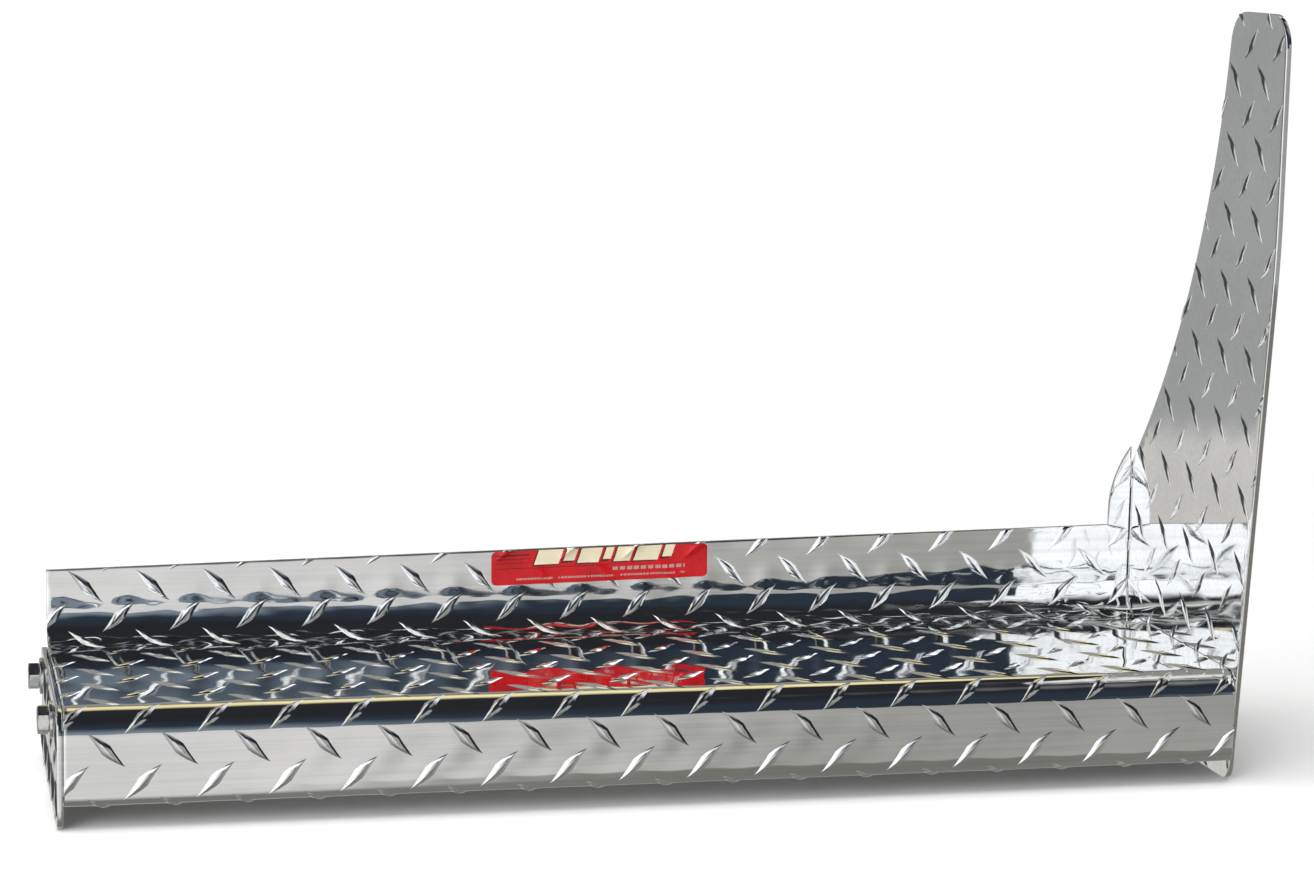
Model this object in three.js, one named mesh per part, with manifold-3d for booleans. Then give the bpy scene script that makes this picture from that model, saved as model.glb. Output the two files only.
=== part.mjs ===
// A short running board section in bright tread plate: one bent sheet makes the skirt, the step and the
// back panel, an upright stone guard closes the right end and a bolted end plate closes the left end.
// Slotted rails and end angles under the step carry it.
//
// Units are millimetres. X runs along the board, Y from the skirt to the back panel, Z up. Pieces are
// built in the board's own frame (x = 0 at the sheet's left end, y = 0 at the skirt's front face, z = 0 at
// the top of the step), and the group then moves the origin to the middle of the bounding box's bottom.
import * as THREE from "three";
import { mergeVertices } from "three/addons/utils/BufferGeometryUtils.js";
import Module from "manifold-3d";

const wasm = await Module();
wasm.setup();

// ---- Driving dimensions -------------------------------------------------------------------------

// Bent sheet
const boardLength = 655;
const boardDepth = 175; // skirt's front face to the back panel's front face
const sheetThickness = 2.5;
const skirtHeight = 52; // top of the step to the underside of the return lip
const noseRadius = 15; // visible face of the front bend
const backRadius = 19; // visible face of the back bend
const lipWidth = 20;
const lipRadius = 6;
const bendSteps = 6; // facets in each bend
const backRiseLeft = 41; // back panel above the step at the left end
const backRiseRight = 54; // the same where the gusset starts
const gussetWidth = 13;
const gussetShoulder = 66; // height at which the gusset leaves its straight side
const gussetTop = 102;

// Tread pattern
const lugPitch = 38.1; // along the board, between lugs that lean the same way
const lugRowPitch = 35.4; // across the board, along the bent surface
const lugLength = 28; // point to point, at the plate's surface
const lugWidth = 6.8;
const lugHeight = 1.4;
const lugSink = 0.25; // how far the edge of a lug's foot reaches into its plate
const lugKeel = 1; // how much deeper the middle of the foot reaches
const lugShift = 3; // first lug's centre from the left end of the sheet

// Stone guard
const guardThickness = 3.2;
const guardHeight = 371; // above the step
const guardTopBack = 48.5; // y of the top rear corner
const guardOverhang = 25.5; // how far the upper part stands in front of the skirt
const guardKneeHeight = 240; // where the leaning front edge turns upright
const guardFlareY = 76; // where the two slopes of the rear edge would meet
const guardFlareHeight = 208;
const guardFlareRadius = 480;
const guardRearHeight = 90; // top of the rear edge that backs the panel's end
const guardCorner = 19;
const guardLugPitchY = 38.6;
const guardLugPitchZ = 39.2;
const guardLugY = 42; // one lug's centre, from which the pattern is counted
const guardLugZ = 333;

// Ends
const endPlateThickness = 3.2;
const endPlateInset = 7; // the end plate's rear edge from the back panel's front face
const footRoom = 12; // below the skirt, where the guard and the end plate reach down as feet
const footCorner = 9;
const angleLeg = 30;
const angleThickness = 2.5;
const angleFrontGap = 12; // from the nose bend to the angle's front end
const angleBackInset = 12; // from the back panel's front face to the angle's rear end

// Fasteners: 3/8 inch bolts through the ends, 5/16 inch slide bolts in the rails
const boltFrontInset = 46; // from the skirt's face
const boltRearInset = 25; // from the back panel's front face
const boltDiameter = 9.5;
const boltHeadFlats = boltDiameter + 4.8;
const boltHeadHeight = 6.2;
const boltNutHeight = 8.4;
const boltProtrusion = 3; // thread that shows past the nut
const washerDiameter = boltDiameter + 11.1;
const washerThickness = 1.7;
const lockWasherDiameter = boltDiameter + 7.3;
const lockWasherThickness = 2.4;
const lockWasherSlit = 1.2;
const holeClearance = 0.45; // on the radius, round a bolt
const nutClearance = 0.95; // between a nut's or a head's corners and the angle's leg above it
const roundSides = 16;

// Mounting rails under the step
const railWidth = 34;
const railHeight = 14;
const railWall = 2.5;
const railEndGap = 2; // between a rail's end and the end angle
const railFrontInset = 52; // from the skirt's face to the front rail's middle
const railRearInset = 43; // from the back panel's front face to the rear rail's middle
const slideBoltInset = 120; // slide bolt from the end of the board
const slideBoltDiameter = 7.9;
const slideBoltLength = 28;
const slideHeadLength = 20;
const slideHeadClearance = 2; // on each side of a slide bolt's head, inside its rail
const slideHeadHeight = 4;
const slotClearance = 1.55; // on each side of a slide bolt, in its slot
const slideWasherDiameter = slideBoltDiameter + 11.1;
const slideNutFlats = slideBoltDiameter + 4.8;
const slideNutHeight = 6.8;
const bracketRoom = 6; // between a rail and the washers, for a bracket's flange

// Label and welds
const labelStart = 258;
const labelLength = 131;
const labelHeight = 20;
const labelThickness = 0.4;
const labelCorner = 3;
const labelEdge = 0.8; // between the label and the panel's top edge
const beadLeg = 4;
const stitchLength = 26;
const stitchesPerRail = 3;
const cornerBeadWidth = 6;
const cornerBeadProud = 1.6;

const joinGap = 0.3; // between pieces that are welded or clamped together
const seatGap = 0.1; // under washers, heads and nuts

// ---- Materials ----------------------------------------------------------------------------------

const finish = (color, roughness, metalness) =>
  new THREE.MeshStandardMaterial({ color, roughness, metalness });
const brightPlate = finish(0xd8dbde, 0.12, 1);
const millAluminium = finish(0xb9bcbf, 0.38, 1);
const zincSteel = finish(0xc3c4c0, 0.3, 1);
const weldMetal = finish(0xa8abae, 0.5, 1);
const redLabel = finish(0xb3121c, 0.45, 0);

// ---- Solids -------------------------------------------------------------------------------------

const X = new THREE.Vector3(1, 0, 0);
const Y = new THREE.Vector3(0, 1, 0);
const Z = new THREE.Vector3(0, 0, 1);
const sectionAlongX = new THREE.Matrix4().makeBasis(Y, Z, X); // a drawing in (y, z), extruded along +X
const sectionAlongY = new THREE.Matrix4().makeBasis(X, Z, Y.clone().negate()); // (x, z), extruded along -Y

function solidOf(geometry) {
  const bare = geometry.clone();
  bare.deleteAttribute("normal");
  bare.deleteAttribute("uv");
  const merged = mergeVertices(bare, 1e-4);
  return new wasm.Manifold(
    new wasm.Mesh({
      numProp: 3,
      vertProperties: new Float32Array(merged.attributes.position.array),
      triVerts: new Uint32Array(merged.index.array),
    }),
  );
}

function geometryOf(solid) {
  const mesh = solid.getMesh();
  const geometry = new THREE.BufferGeometry()
    .setAttribute("position", new THREE.BufferAttribute(mesh.vertProperties, 3))
    .setIndex(new THREE.BufferAttribute(mesh.triVerts, 1))
    .toNonIndexed();
  geometry.computeVertexNormals();
  return geometry;
}

function extrude(shape, depth, curveSegments = 8) {
  return new THREE.ExtrudeGeometry(shape, { depth, bevelEnabled: false, curveSegments });
}

// An extrusion along +X of a shape drawn in (y, z), starting at x.
function plateAcross(shape, x, thickness, curveSegments) {
  return extrude(shape, thickness, curveSegments).applyMatrix4(sectionAlongX).translate(x, 0, 0);
}

// An extrusion of a shape drawn in (x, z), from the given front y back to y + thickness.
function plateAlong(shape, y, thickness, curveSegments) {
  return extrude(shape, thickness, curveSegments)
    .applyMatrix4(sectionAlongY)
    .translate(0, y + thickness, 0);
}

function box(sizeX, sizeY, sizeZ, x, y, z) {
  return new THREE.BoxGeometry(sizeX, sizeY, sizeZ).translate(x, y, z);
}

// A cylinder along Z from z = start to z = start + length.
function rod(diameter, length, start = 0, sides = roundSides) {
  return new THREE.CylinderGeometry(diameter / 2, diameter / 2, length, sides)
    .rotateX(Math.PI / 2)
    .translate(0, 0, start + length / 2);
}

// A closed profile of [radius, height] points turned about Z.
function revolve(points) {
  const profilePoints = points.map(([r, z]) => new THREE.Vector2(r, z));
  return new THREE.LatheGeometry(profilePoints, roundSides).rotateX(Math.PI / 2);
}

// A closed outline with straight sides, each corner [a, b, radius] rounded by its own arc. An arc gets
// smaller where its side is too short for it and the next corner's arc.
function roundedOutline(corners) {
  const shape = new THREE.Shape();
  const points = corners.map(([a, b]) => new THREE.Vector2(a, b));
  const sides = corners.map((_, i) => {
    const corner = points[i];
    const toBefore = points.at(i - 1).clone().sub(corner).normalize();
    const toAfter = points[(i + 1) % corners.length].clone().sub(corner).normalize();
    const half = Math.acos(toBefore.dot(toAfter)) / 2;
    return { corner, toBefore, toAfter, half, wanted: corners[i][2] / Math.tan(half) };
  });
  const fits = (side, next) =>
    Math.min(1, side.corner.distanceTo(next.corner) / (side.wanted + next.wanted));
  sides.forEach((side, i) => {
    const { corner, toBefore, toAfter, half, wanted } = side;
    const share = Math.min(fits(side, sides.at(i - 1)), fits(side, sides[(i + 1) % sides.length]));
    const reach = wanted * share;
    const radius = reach * Math.tan(half);
    const start = corner.clone().addScaledVector(toBefore, reach);
    const end = corner.clone().addScaledVector(toAfter, reach);
    const bisector = toBefore.clone().add(toAfter).normalize();
    const centre = corner.clone().addScaledVector(bisector, radius / Math.sin(half));
    const angleTo = (point) => Math.atan2(point.y - centre.y, point.x - centre.x);
    if (i === 0) shape.moveTo(start.x, start.y);
    else shape.lineTo(start.x, start.y);
    shape.absarc(centre.x, centre.y, radius, angleTo(start), angleTo(end), toBefore.cross(toAfter) > 0);
  });
  shape.closePath();
  return shape;
}

// ---- The bent sheet's visible surface -----------------------------------------------------------

// The surface as it leaves the press brake, from the lip's inner edge to above the back panel: straight
// runs, and quarter bends that turn right (-1, visible face outside) or left (+1, visible face inside).
const blankTop = gussetTop + 8; // the blank is cut to the panel's outline later
const profile = [
  { run: lipWidth - lipRadius },
  { radius: lipRadius, turn: -1 },
  { run: skirtHeight - lipRadius - noseRadius },
  { radius: noseRadius, turn: -1 },
  { run: boardDepth - noseRadius - backRadius },
  { radius: backRadius, turn: 1 },
  { run: blankTop - backRadius },
];
const lengthOf = (piece) => piece.run ?? (piece.radius * Math.PI) / 2;
const girthTo = (count) => profile.slice(0, count).reduce((sum, piece) => sum + lengthOf(piece), 0);
const noseMiddle = girthTo(3) + lengthOf(profile[3]) / 2;

// The point at distance s along the surface, raised by h along its normal, as [y, z].
function surfacePoint(s, h) {
  let y = lipWidth;
  let z = -skirtHeight;
  let heading = Math.PI;
  let left = s;
  for (const piece of profile) {
    const step = Math.max(0, Math.min(left, lengthOf(piece)));
    left -= step;
    if (piece.run !== undefined) {
      y += step * Math.cos(heading);
      z += step * Math.sin(heading);
    } else {
      const side = piece.turn * piece.radius; // centre of the bend, to the left of the heading
      const centreY = y - side * Math.sin(heading);
      const centreZ = z + side * Math.cos(heading);
      heading += (piece.turn * step) / piece.radius;
      y = centreY + side * Math.sin(heading);
      z = centreZ - side * Math.cos(heading);
    }
  }
  return [y - h * Math.sin(heading), z + h * Math.cos(heading)];
}

// Where the facets of the surface meet: the ends of every run and the steps of every bend.
function surfaceStations() {
  const stations = [0];
  for (const piece of profile) {
    const start = stations.at(-1);
    const steps = piece.run === undefined ? bendSteps : 1;
    for (let i = 1; i <= steps; i++) stations.push(start + (lengthOf(piece) * i) / steps);
  }
  return stations;
}

// Lugs are cut across more often where they cross a bend.
function lugCuts(s, reach) {
  const touches = (piece, i) => piece.turn && s + reach > girthTo(i) && s - reach < girthTo(i + 1);
  return profile.some(touches) ? 4 : 2;
}

// ---- Tread lugs ---------------------------------------------------------------------------------

// Centres of a staggered tread pattern over a rectangle [a0, a1] by [b0, b1]. Lugs that lean right lie on the
// anchor's lattice, and lugs that lean left lie half a pitch from it both ways.
function lugPlaces(anchor, pitches, range) {
  const places = [];
  for (const [lean, offset] of [[1, 0], [-1, 0.5]]) {
    const first = [0, 1].map((k) => Math.ceil((range[k][0] - anchor[k]) / pitches[k] - offset));
    const last = [0, 1].map((k) => Math.floor((range[k][1] - anchor[k]) / pitches[k] - offset));
    for (let i = first[0]; i <= last[0]; i++) {
      for (let j = first[1]; j <= last[1]; j++) {
        const [a, b] = [anchor[0] + (i + offset) * pitches[0], anchor[1] + (j + offset) * pitches[1]];
        places.push({ a, b, lean });
      }
    }
  }
  return places;
}

// All lugs at the given places as one geometry of separate closed bodies. Each is a slim ridge that rises
// from two points to a peak in the middle, has a keel inside its plate, and is cut across often enough to
// follow a bend.
// toSpace turns (a, b, h) on the plate into a point, and must keep a right hand.
function lugGeometry(places, pitches, toSpace) {
  const along = new THREE.Vector2(pitches[0], pitches[1]).normalize();
  const foot = (lugHeight + lugSink) / lugHeight; // how much larger the foot is than the visible outline
  const positions = [];
  for (const { a, b, lean, cuts = 2 } of places) {
    const at = (u, w, h) =>
      toSpace(a + (u * along.x - w * along.y) * lean, b + u * along.y + w * along.x, h);
    const add = (...face) => positions.push(...(lean > 0 ? face : face.toReversed()).flat());
    const sections = [];
    for (let i = 0; i <= cuts; i++) {
      const t = (2 * i) / cuts - 1;
      const rest = 1 - Math.abs(t);
      const u = (t * foot * lugLength) / 2;
      const w = (rest * foot * lugWidth) / 2;
      const ridge = rest * (lugHeight + lugSink) - lugSink;
      const keel = -rest * lugKeel - lugSink;
      sections.push([at(u, -w, -lugSink), at(u, 0, ridge), at(u, w, -lugSink), at(u, 0, keel)]);
    }
    for (let i = 0; i < cuts; i++) {
      const [near, far] = [sections[i], sections[i + 1]];
      for (const [from, to] of [[0, 1], [1, 2], [2, 3], [3, 0]]) {
        if (i > 0) add(near[from], far[from], near[to]);
        if (i < cuts - 1) add(near[to], far[from], far[to]);
      }
    }
  }
  return new THREE.BufferGeometry()
    .setAttribute("position", new THREE.BufferAttribute(new Float32Array(positions), 3));
}

// ---- Tread board --------------------------------------------------------------------------------

// Height of the back panel's top edge above the step.
const gussetStart = boardLength - gussetWidth;
const panelTop = (x) => backRiseLeft + ((backRiseRight - backRiseLeft) * x) / gussetStart;

const trimMargin = 10; // how far the trimming reaches past the sheet

// What is left of the blank after trimming, seen from the front.
function trimOutline() {
  const shape = new THREE.Shape();
  const below = -skirtHeight - trimMargin;
  shape.moveTo(0, below);
  shape.lineTo(boardLength, below);
  shape.lineTo(boardLength, gussetTop);
  const bow = [gussetStart + gussetWidth / 12, gussetShoulder + (gussetTop - gussetShoulder) * 0.55];
  shape.quadraticCurveTo(...bow, gussetStart, gussetShoulder);
  shape.lineTo(gussetStart, panelTop(gussetStart));
  shape.lineTo(0, panelTop(0));
  shape.closePath();
  return shape;
}

function treadBoard() {
  const stations = surfaceStations();
  const outer = stations.map((s) => new THREE.Vector2(...surfacePoint(s, 0)));
  const inner = stations.map((s) => new THREE.Vector2(...surfacePoint(s, -sheetThickness)));
  const margin = lugLength;
  const section = new THREE.Shape([...outer, ...inner.reverse()]);
  const sheet = plateAcross(section, -margin, boardLength + 2 * margin);
  const pitches = [lugPitch, lugRowPitch];
  const anchor = [lugShift, noseMiddle];
  const reach = [lugLength / 2, (lugLength / 2) * (lugRowPitch / Math.hypot(...pitches))];
  const range = [[-reach[0], boardLength + reach[0]], [reach[1], stations.at(-1) - reach[1]]];
  const places = lugPlaces(anchor, pitches, range).map((lug) => ({ ...lug, cuts: lugCuts(lug.b, reach[1]) }));
  const onSheet = (a, b, h) => [a, ...surfacePoint(b, h)];
  const trim = plateAlong(trimOutline(), -trimMargin, boardDepth + sheetThickness + 2 * trimMargin);
  return solidOf(sheet).add(solidOf(lugGeometry(places, pitches, onSheet))).intersect(solidOf(trim));
}

// ---- End plates ---------------------------------------------------------------------------------

const underStep = -sheetThickness - joinGap;
const standDrop = skirtHeight + footRoom; // step to the bottom of the feet, which the part stands on
const boltYs = { front: boltFrontInset, rear: boardDepth - boltRearInset };
const boltDrop = angleThickness - underStep + boltHeadFlats / Math.sqrt(3) + nutClearance;
const holeDiameter = boltDiameter + 2 * holeClearance;
const throughAll = 50; // how far a drill runs past both ends of the board

function drillBolts(solid) {
  return Object.values(boltYs).reduce((plate, y) => {
    const drill = rod(holeDiameter, boardLength + 2 * throughAll, -throughAll).rotateY(Math.PI / 2);
    return plate.subtract(solidOf(drill.translate(0, y, -boltDrop)));
  }, solid);
}

// Lugs on a face that looks along -X at x, kept inside the plate's outline.
function lugsOnFace(places, pitches, x, outline) {
  const onFace = (a, b, h) => [x - h, -a, b];
  const lugs = solidOf(lugGeometry(places, pitches, onFace));
  return lugs.intersect(solidOf(plateAcross(outline, x - 2 * lugHeight, 2 * lugHeight + lugSink * 2)));
}

const guardInner = boardLength + joinGap;
const guardRear = boardDepth + sheetThickness;
const guardLean = guardOverhang / guardKneeHeight;

function guardOutline() {
  return roundedOutline([
    [standDrop * guardLean, -standDrop, footCorner],
    [guardRear, -standDrop, footCorner],
    [guardRear, guardRearHeight, footCorner],
    [guardFlareY, guardFlareHeight, guardFlareRadius],
    [guardTopBack, guardHeight, guardCorner],
    [-guardOverhang, guardHeight, guardCorner],
    [-guardOverhang, guardKneeHeight, guardFlareRadius],
  ]);
}

// The part of the guard's face that the bent sheet and what is under it sit against. Lugs there are dressed off.
function guardSeat() {
  const clear = lugHeight + joinGap;
  const shape = new THREE.Shape();
  shape.moveTo(-clear, -skirtHeight - clear);
  shape.lineTo(guardRear + 10, -skirtHeight - clear);
  shape.lineTo(guardRear + 10, gussetTop + clear);
  shape.lineTo(boardDepth - clear, gussetTop + clear);
  shape.lineTo(boardDepth - clear, backRadius);
  const centreY = boardDepth - backRadius;
  shape.absarc(centreY, backRadius, backRadius - clear, 0, -Math.PI / 2, true);
  shape.lineTo(-clear, clear);
  shape.closePath();
  return plateAcross(shape, boardLength - 10, 20 + guardThickness, bendSteps);
}

function stoneGuard() {
  const outline = guardOutline();
  const pitches = [guardLugPitchY, guardLugPitchZ];
  const anchor = [-guardLugY + guardLugPitchY / 2, guardLugZ + guardLugPitchZ / 2];
  const reach = lugLength / 2;
  const range = [[-guardRear - reach, guardOverhang + reach], [-standDrop - reach, guardHeight + reach]];
  const lugs = lugsOnFace(lugPlaces(anchor, pitches, range), pitches, guardInner, outline);
  const plate = solidOf(plateAcross(outline, guardInner, guardThickness));
  const bodies = lugs.subtract(solidOf(guardSeat())).decompose().filter((lug) => lug.volume() > 1);
  return drillBolts(bodies.reduce((joined, lug) => joined.add(lug), plate));
}

function leftEndPlate() {
  const endPlateDepth = boardDepth - endPlateInset;
  const outline = roundedOutline([
    [0, -standDrop, footCorner],
    [endPlateDepth, -standDrop, footCorner],
    [endPlateDepth, 0, footCorner],
    [0, 0, noseRadius],
  ]);
  const outer = -joinGap - endPlateThickness;
  const pitches = [lugPitch, lugRowPitch];
  const reach = lugLength / 2;
  const range = [[-endPlateDepth - reach, reach], [-standDrop - reach, reach]];
  const anchor = [-boltYs.front - lugPitch / 2, -boltDrop - lugRowPitch / 2];
  const clearOfBolts = ({ a, b }) =>
    Object.values(boltYs).every((y) => Math.hypot(-a - y, b + boltDrop) > (washerDiameter + lugLength) / 2);
  const places = lugPlaces(anchor, pitches, range).filter(clearOfBolts);
  const lugs = lugsOnFace(places, pitches, outer, outline);
  const bodies = lugs.decompose().filter((lug) => lug.volume() > 1);
  const plate = solidOf(plateAcross(outline, outer, endPlateThickness));
  return drillBolts(bodies.reduce((joined, lug) => joined.add(lug), plate));
}

// ---- Under the step -----------------------------------------------------------------------------

// The left end's angle: one leg under the step, the other against the end plate. The right end mirrors it.
function endAngle(atRight) {
  const shape = new THREE.Shape();
  const corners = [
    [0, underStep], [0, underStep - angleLeg], [angleThickness, underStep - angleLeg],
    [angleThickness, underStep - angleThickness], [angleLeg, underStep - angleThickness],
    [angleLeg, underStep],
  ];
  shape.setFromPoints(corners.map(([x, z]) => new THREE.Vector2(atRight ? boardLength - x : x, z)));
  const front = noseRadius + angleFrontGap;
  return drillBolts(solidOf(plateAlong(shape, front, boardDepth - angleBackInset - front)));
}

const railStart = angleLeg + railEndGap;
const railFloor = underStep - railHeight; // underside of the rail's lips
const railYs = { front: railFrontInset, rear: boardDepth - railRearInset };

function rail(y) {
  const half = railWidth / 2;
  const inside = half - railWall;
  const slot = slideBoltDiameter / 2 + slotClearance;
  const roof = underStep - railWall;
  const lips = railFloor + railWall;
  const side = [
    [half, underStep], [half, railFloor], [slot, railFloor], [slot, lips], [inside, lips], [inside, roof],
  ];
  const corners = [...side, ...side.toReversed().map(([a, z]) => [-a, z])];
  const shape = new THREE.Shape(corners.map(([a, z]) => new THREE.Vector2(y + a, z)));
  return solidOf(plateAcross(shape, railStart, boardLength - 2 * railStart));
}

// ---- Fasteners, each along Z with the clamped face at z = 0 -------------------------------------

// A hexagon prism from z = 0 up, its top corners cut by a cone, and its bottom ones too on a nut.
function hexagon(flats, height, bothEnds) {
  const corner = flats / Math.sqrt(3);
  const cut = corner - flats / 2;
  const prism = rod(2 * corner, height, 0, 6);
  const bottom = bothEnds ? [[flats / 2, 0], [corner + 0.5, cut]] : [[corner + 0.5, 0]];
  const points = [[0, 0], ...bottom, [corner + 0.5, height - cut], [flats / 2, height], [0, height]];
  return solidOf(prism).intersect(solidOf(revolve(points)));
}

function ring(outerDiameter, innerDiameter, thickness) {
  const [inside, outside] = [innerDiameter / 2, outerDiameter / 2];
  return revolve([[inside, 0], [outside, 0], [outside, thickness], [inside, thickness], [inside, 0]]);
}

const endGrip =
  washerThickness + endPlateThickness + joinGap + angleThickness + lockWasherThickness + 3 * seatGap;

// Head above z = 0, shank below it.
function hexBolt() {
  const shank = endGrip + boltNutHeight + seatGap + boltProtrusion;
  return hexagon(boltHeadFlats, boltHeadHeight, false).add(solidOf(rod(boltDiameter, shank + 1, -shank)));
}

function nut(flats, height, bolt) {
  return hexagon(flats, height, true).subtract(solidOf(rod(bolt + 2 * holeClearance, height + 2, -1)));
}

function lockWasher() {
  const slit = box(lockWasherDiameter, lockWasherSlit, 3 * lockWasherThickness, lockWasherDiameter / 2, 0, 0);
  return solidOf(ring(lockWasherDiameter, holeDiameter, lockWasherThickness)).subtract(solidOf(slit));
}

function slideBolt() {
  const headWidth = railWidth - 2 * (railWall + slideHeadClearance);
  const head = box(slideHeadLength, headWidth, slideHeadHeight, 0, 0, slideHeadHeight / 2);
  return solidOf(head).add(solidOf(rod(slideBoltDiameter, slideBoltLength + 1, -slideBoltLength)));
}

// ---- Welds and label ----------------------------------------------------------------------------

// A fillet between the underside of the step and a wall that faces +Y (side 1) or -Y (side -1) at y.
function stitchWeld(y, side, x) {
  const top = underStep + joinGap / 2;
  const root = y + side * joinGap;
  const shape = new THREE.Shape();
  shape.moveTo(root, top - joinGap);
  shape.lineTo(root, top - beadLeg);
  const middle = beadLeg * 0.55;
  shape.quadraticCurveTo(root + side * middle, top - middle, root + side * beadLeg, top - joinGap);
  shape.closePath();
  return solidOf(plateAcross(shape, x - stitchLength / 2, stitchLength, 4));
}

// The bead down the outside corner, over the joint between the back panel and the guard's rear edge.
function cornerWeld() {
  const shape = new THREE.Shape();
  const half = cornerBeadWidth / 2;
  shape.moveTo(boardLength - half, 0);
  shape.quadraticCurveTo(boardLength, 2 * cornerBeadProud, boardLength + half, 0);
  shape.closePath();
  const start = backRadius + sheetThickness;
  const length = guardRearHeight - footCorner - start;
  return solidOf(extrude(shape, length, 6).translate(0, guardRear + joinGap, start));
}

// Corners follow the panel's slanting top edge.
function label() {
  const end = labelStart + labelLength;
  const [left, right] = [labelStart, end].map((x) => panelTop(x) - labelEdge);
  const shape = roundedOutline([
    [labelStart, left - labelHeight, labelCorner],
    [end, right - labelHeight, labelCorner],
    [end, right, labelCorner],
    [labelStart, left, labelCorner],
  ]);
  return solidOf(plateAlong(shape, boardDepth - lugHeight - joinGap - labelThickness, labelThickness, 3));
}

// ---- Assembly -----------------------------------------------------------------------------------

const group = new THREE.Group();

function place(name, solid, material, position = [0, 0, 0], turn = [0, 0, 0]) {
  const mesh = new THREE.Mesh(geometryOf(solid), material);
  mesh.name = name;
  mesh.position.set(...position);
  mesh.rotation.set(...turn);
  group.add(mesh);
}

place("tread_board", treadBoard(), brightPlate);
place("stone_guard", stoneGuard(), brightPlate);
place("left_end_plate", leftEndPlate(), brightPlate);
place("left_end_angle", endAngle(false), millAluminium);
place("right_end_angle", endAngle(true), millAluminium);
place("back_panel_label", label(), redLabel);
place("guard_corner_weld", cornerWeld(), weldMetal);

// End bolts: heads outside, lock washers and nuts inside. The stack is laid out from the washer inwards.
function endFasteners(name, y, atRight) {
  const outward = atRight ? 1 : -1;
  const turn = [0, (outward * Math.PI) / 2, 0];
  const plateFace = atRight ? guardInner + guardThickness : -joinGap - endPlateThickness;
  const angleFace = atRight ? boardLength - angleThickness : angleThickness;
  const at = (x) => [x, y, -boltDrop];
  const washerFace = plateFace + outward * (seatGap + washerThickness);
  const lockFace = angleFace - outward * (seatGap + lockWasherThickness);
  const nutFace = lockFace - outward * (seatGap + boltNutHeight);
  place(`${name}_washer`, solidOf(ring(washerDiameter, holeDiameter, washerThickness)), zincSteel,
    at(plateFace + outward * seatGap), turn);
  place(`${name}_bolt`, hexBolt(), zincSteel, at(washerFace + outward * seatGap), turn);
  place(`${name}_lock_washer`, lockWasher(), zincSteel, at(lockFace), turn);
  place(`${name}_nut`, nut(boltHeadFlats, boltNutHeight, boltDiameter), zincSteel, at(nutFace), turn);
}

for (const [where, y] of Object.entries(boltYs)) {
  endFasteners(`left_${where}`, y, false);
  endFasteners(`right_${where}`, y, true);
}

// Rails, their stitch welds and their slide bolts.
for (const [where, y] of Object.entries(railYs)) {
  place(`${where}_rail`, rail(y), millAluminium);
  const side = where === "front" ? -1 : 1;
  for (let i = 0; i < stitchesPerRail; i++) {
    const x = boardLength * ((i + 0.5) / stitchesPerRail);
    place(`${where}_rail_weld_${i + 1}`, stitchWeld(y + (side * railWidth) / 2, side, x), weldMetal);
  }
  for (const [end, x] of [["left", slideBoltInset], ["right", boardLength - slideBoltInset]]) {
    const name = `${where}_${end}_slide`;
    const seat = railFloor + railWall + seatGap;
    const washerTop = railFloor - bracketRoom;
    const nutTop = washerTop - washerThickness - seatGap;
    place(`${name}_bolt`, slideBolt(), zincSteel, [x, y, seat]);
    const washer = ring(slideWasherDiameter, slideBoltDiameter + 2 * holeClearance, washerThickness);
    place(`${name}_washer`, solidOf(washer), zincSteel, [x, y, washerTop - washerThickness]);
    place(`${name}_nut`, nut(slideNutFlats, slideNutHeight, slideBoltDiameter), zincSteel,
      [x, y, nutTop - slideNutHeight]);
  }
}

// The origin goes to the middle of the bounding box's bottom.
const headReach = washerThickness + 2 * seatGap + boltHeadHeight;
const leftReach = -joinGap - endPlateThickness - headReach;
const rightReach = guardInner + guardThickness + headReach;
const rearReach = guardRear + joinGap + cornerBeadProud;
group.position.set(-(leftReach + rightReach) / 2, -(rearReach - guardOverhang) / 2, standDrop);

export default group;
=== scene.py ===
"""A short running board section in bright tread plate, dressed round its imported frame.

One bent sheet makes the skirt, the step and the back panel. An upright stone guard closes its right end and a
bolted plate closes its left end. Angles, slotted rails and slide bolts sit under the step.

Sizes are millimetres in the board's own frame: x = 0 at the sheet's left end, y = 0 at the skirt's face and
z = 0 at the top of the step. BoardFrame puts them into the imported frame, in metres.
"""
import logging
import math
from dataclasses import dataclass, field
from enum import Enum
from typing import Callable, Sequence

import bmesh
import bpy
import numpy as np
from mathutils import Matrix, Vector
from mathutils.geometry import delaunay_2d_cdt


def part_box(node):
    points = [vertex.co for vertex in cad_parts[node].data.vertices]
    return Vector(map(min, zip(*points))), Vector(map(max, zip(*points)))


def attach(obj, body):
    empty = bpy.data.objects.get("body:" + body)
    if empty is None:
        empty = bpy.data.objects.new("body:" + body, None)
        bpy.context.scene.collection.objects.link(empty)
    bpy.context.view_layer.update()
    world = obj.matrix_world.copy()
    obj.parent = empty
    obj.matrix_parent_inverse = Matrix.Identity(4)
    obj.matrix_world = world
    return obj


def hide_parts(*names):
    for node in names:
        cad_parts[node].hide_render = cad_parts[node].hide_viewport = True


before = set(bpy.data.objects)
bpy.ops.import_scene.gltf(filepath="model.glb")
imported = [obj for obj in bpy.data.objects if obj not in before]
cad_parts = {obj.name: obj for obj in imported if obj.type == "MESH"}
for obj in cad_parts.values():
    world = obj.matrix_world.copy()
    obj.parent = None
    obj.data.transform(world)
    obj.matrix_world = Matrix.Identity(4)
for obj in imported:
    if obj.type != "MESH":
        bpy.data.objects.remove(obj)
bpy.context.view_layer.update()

log = logging.getLogger("running_board")
MM = 0.001
TURN = 2 * math.pi
PLATE_SHARP = math.radians(38)  # edges over this angle stay sharp
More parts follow.
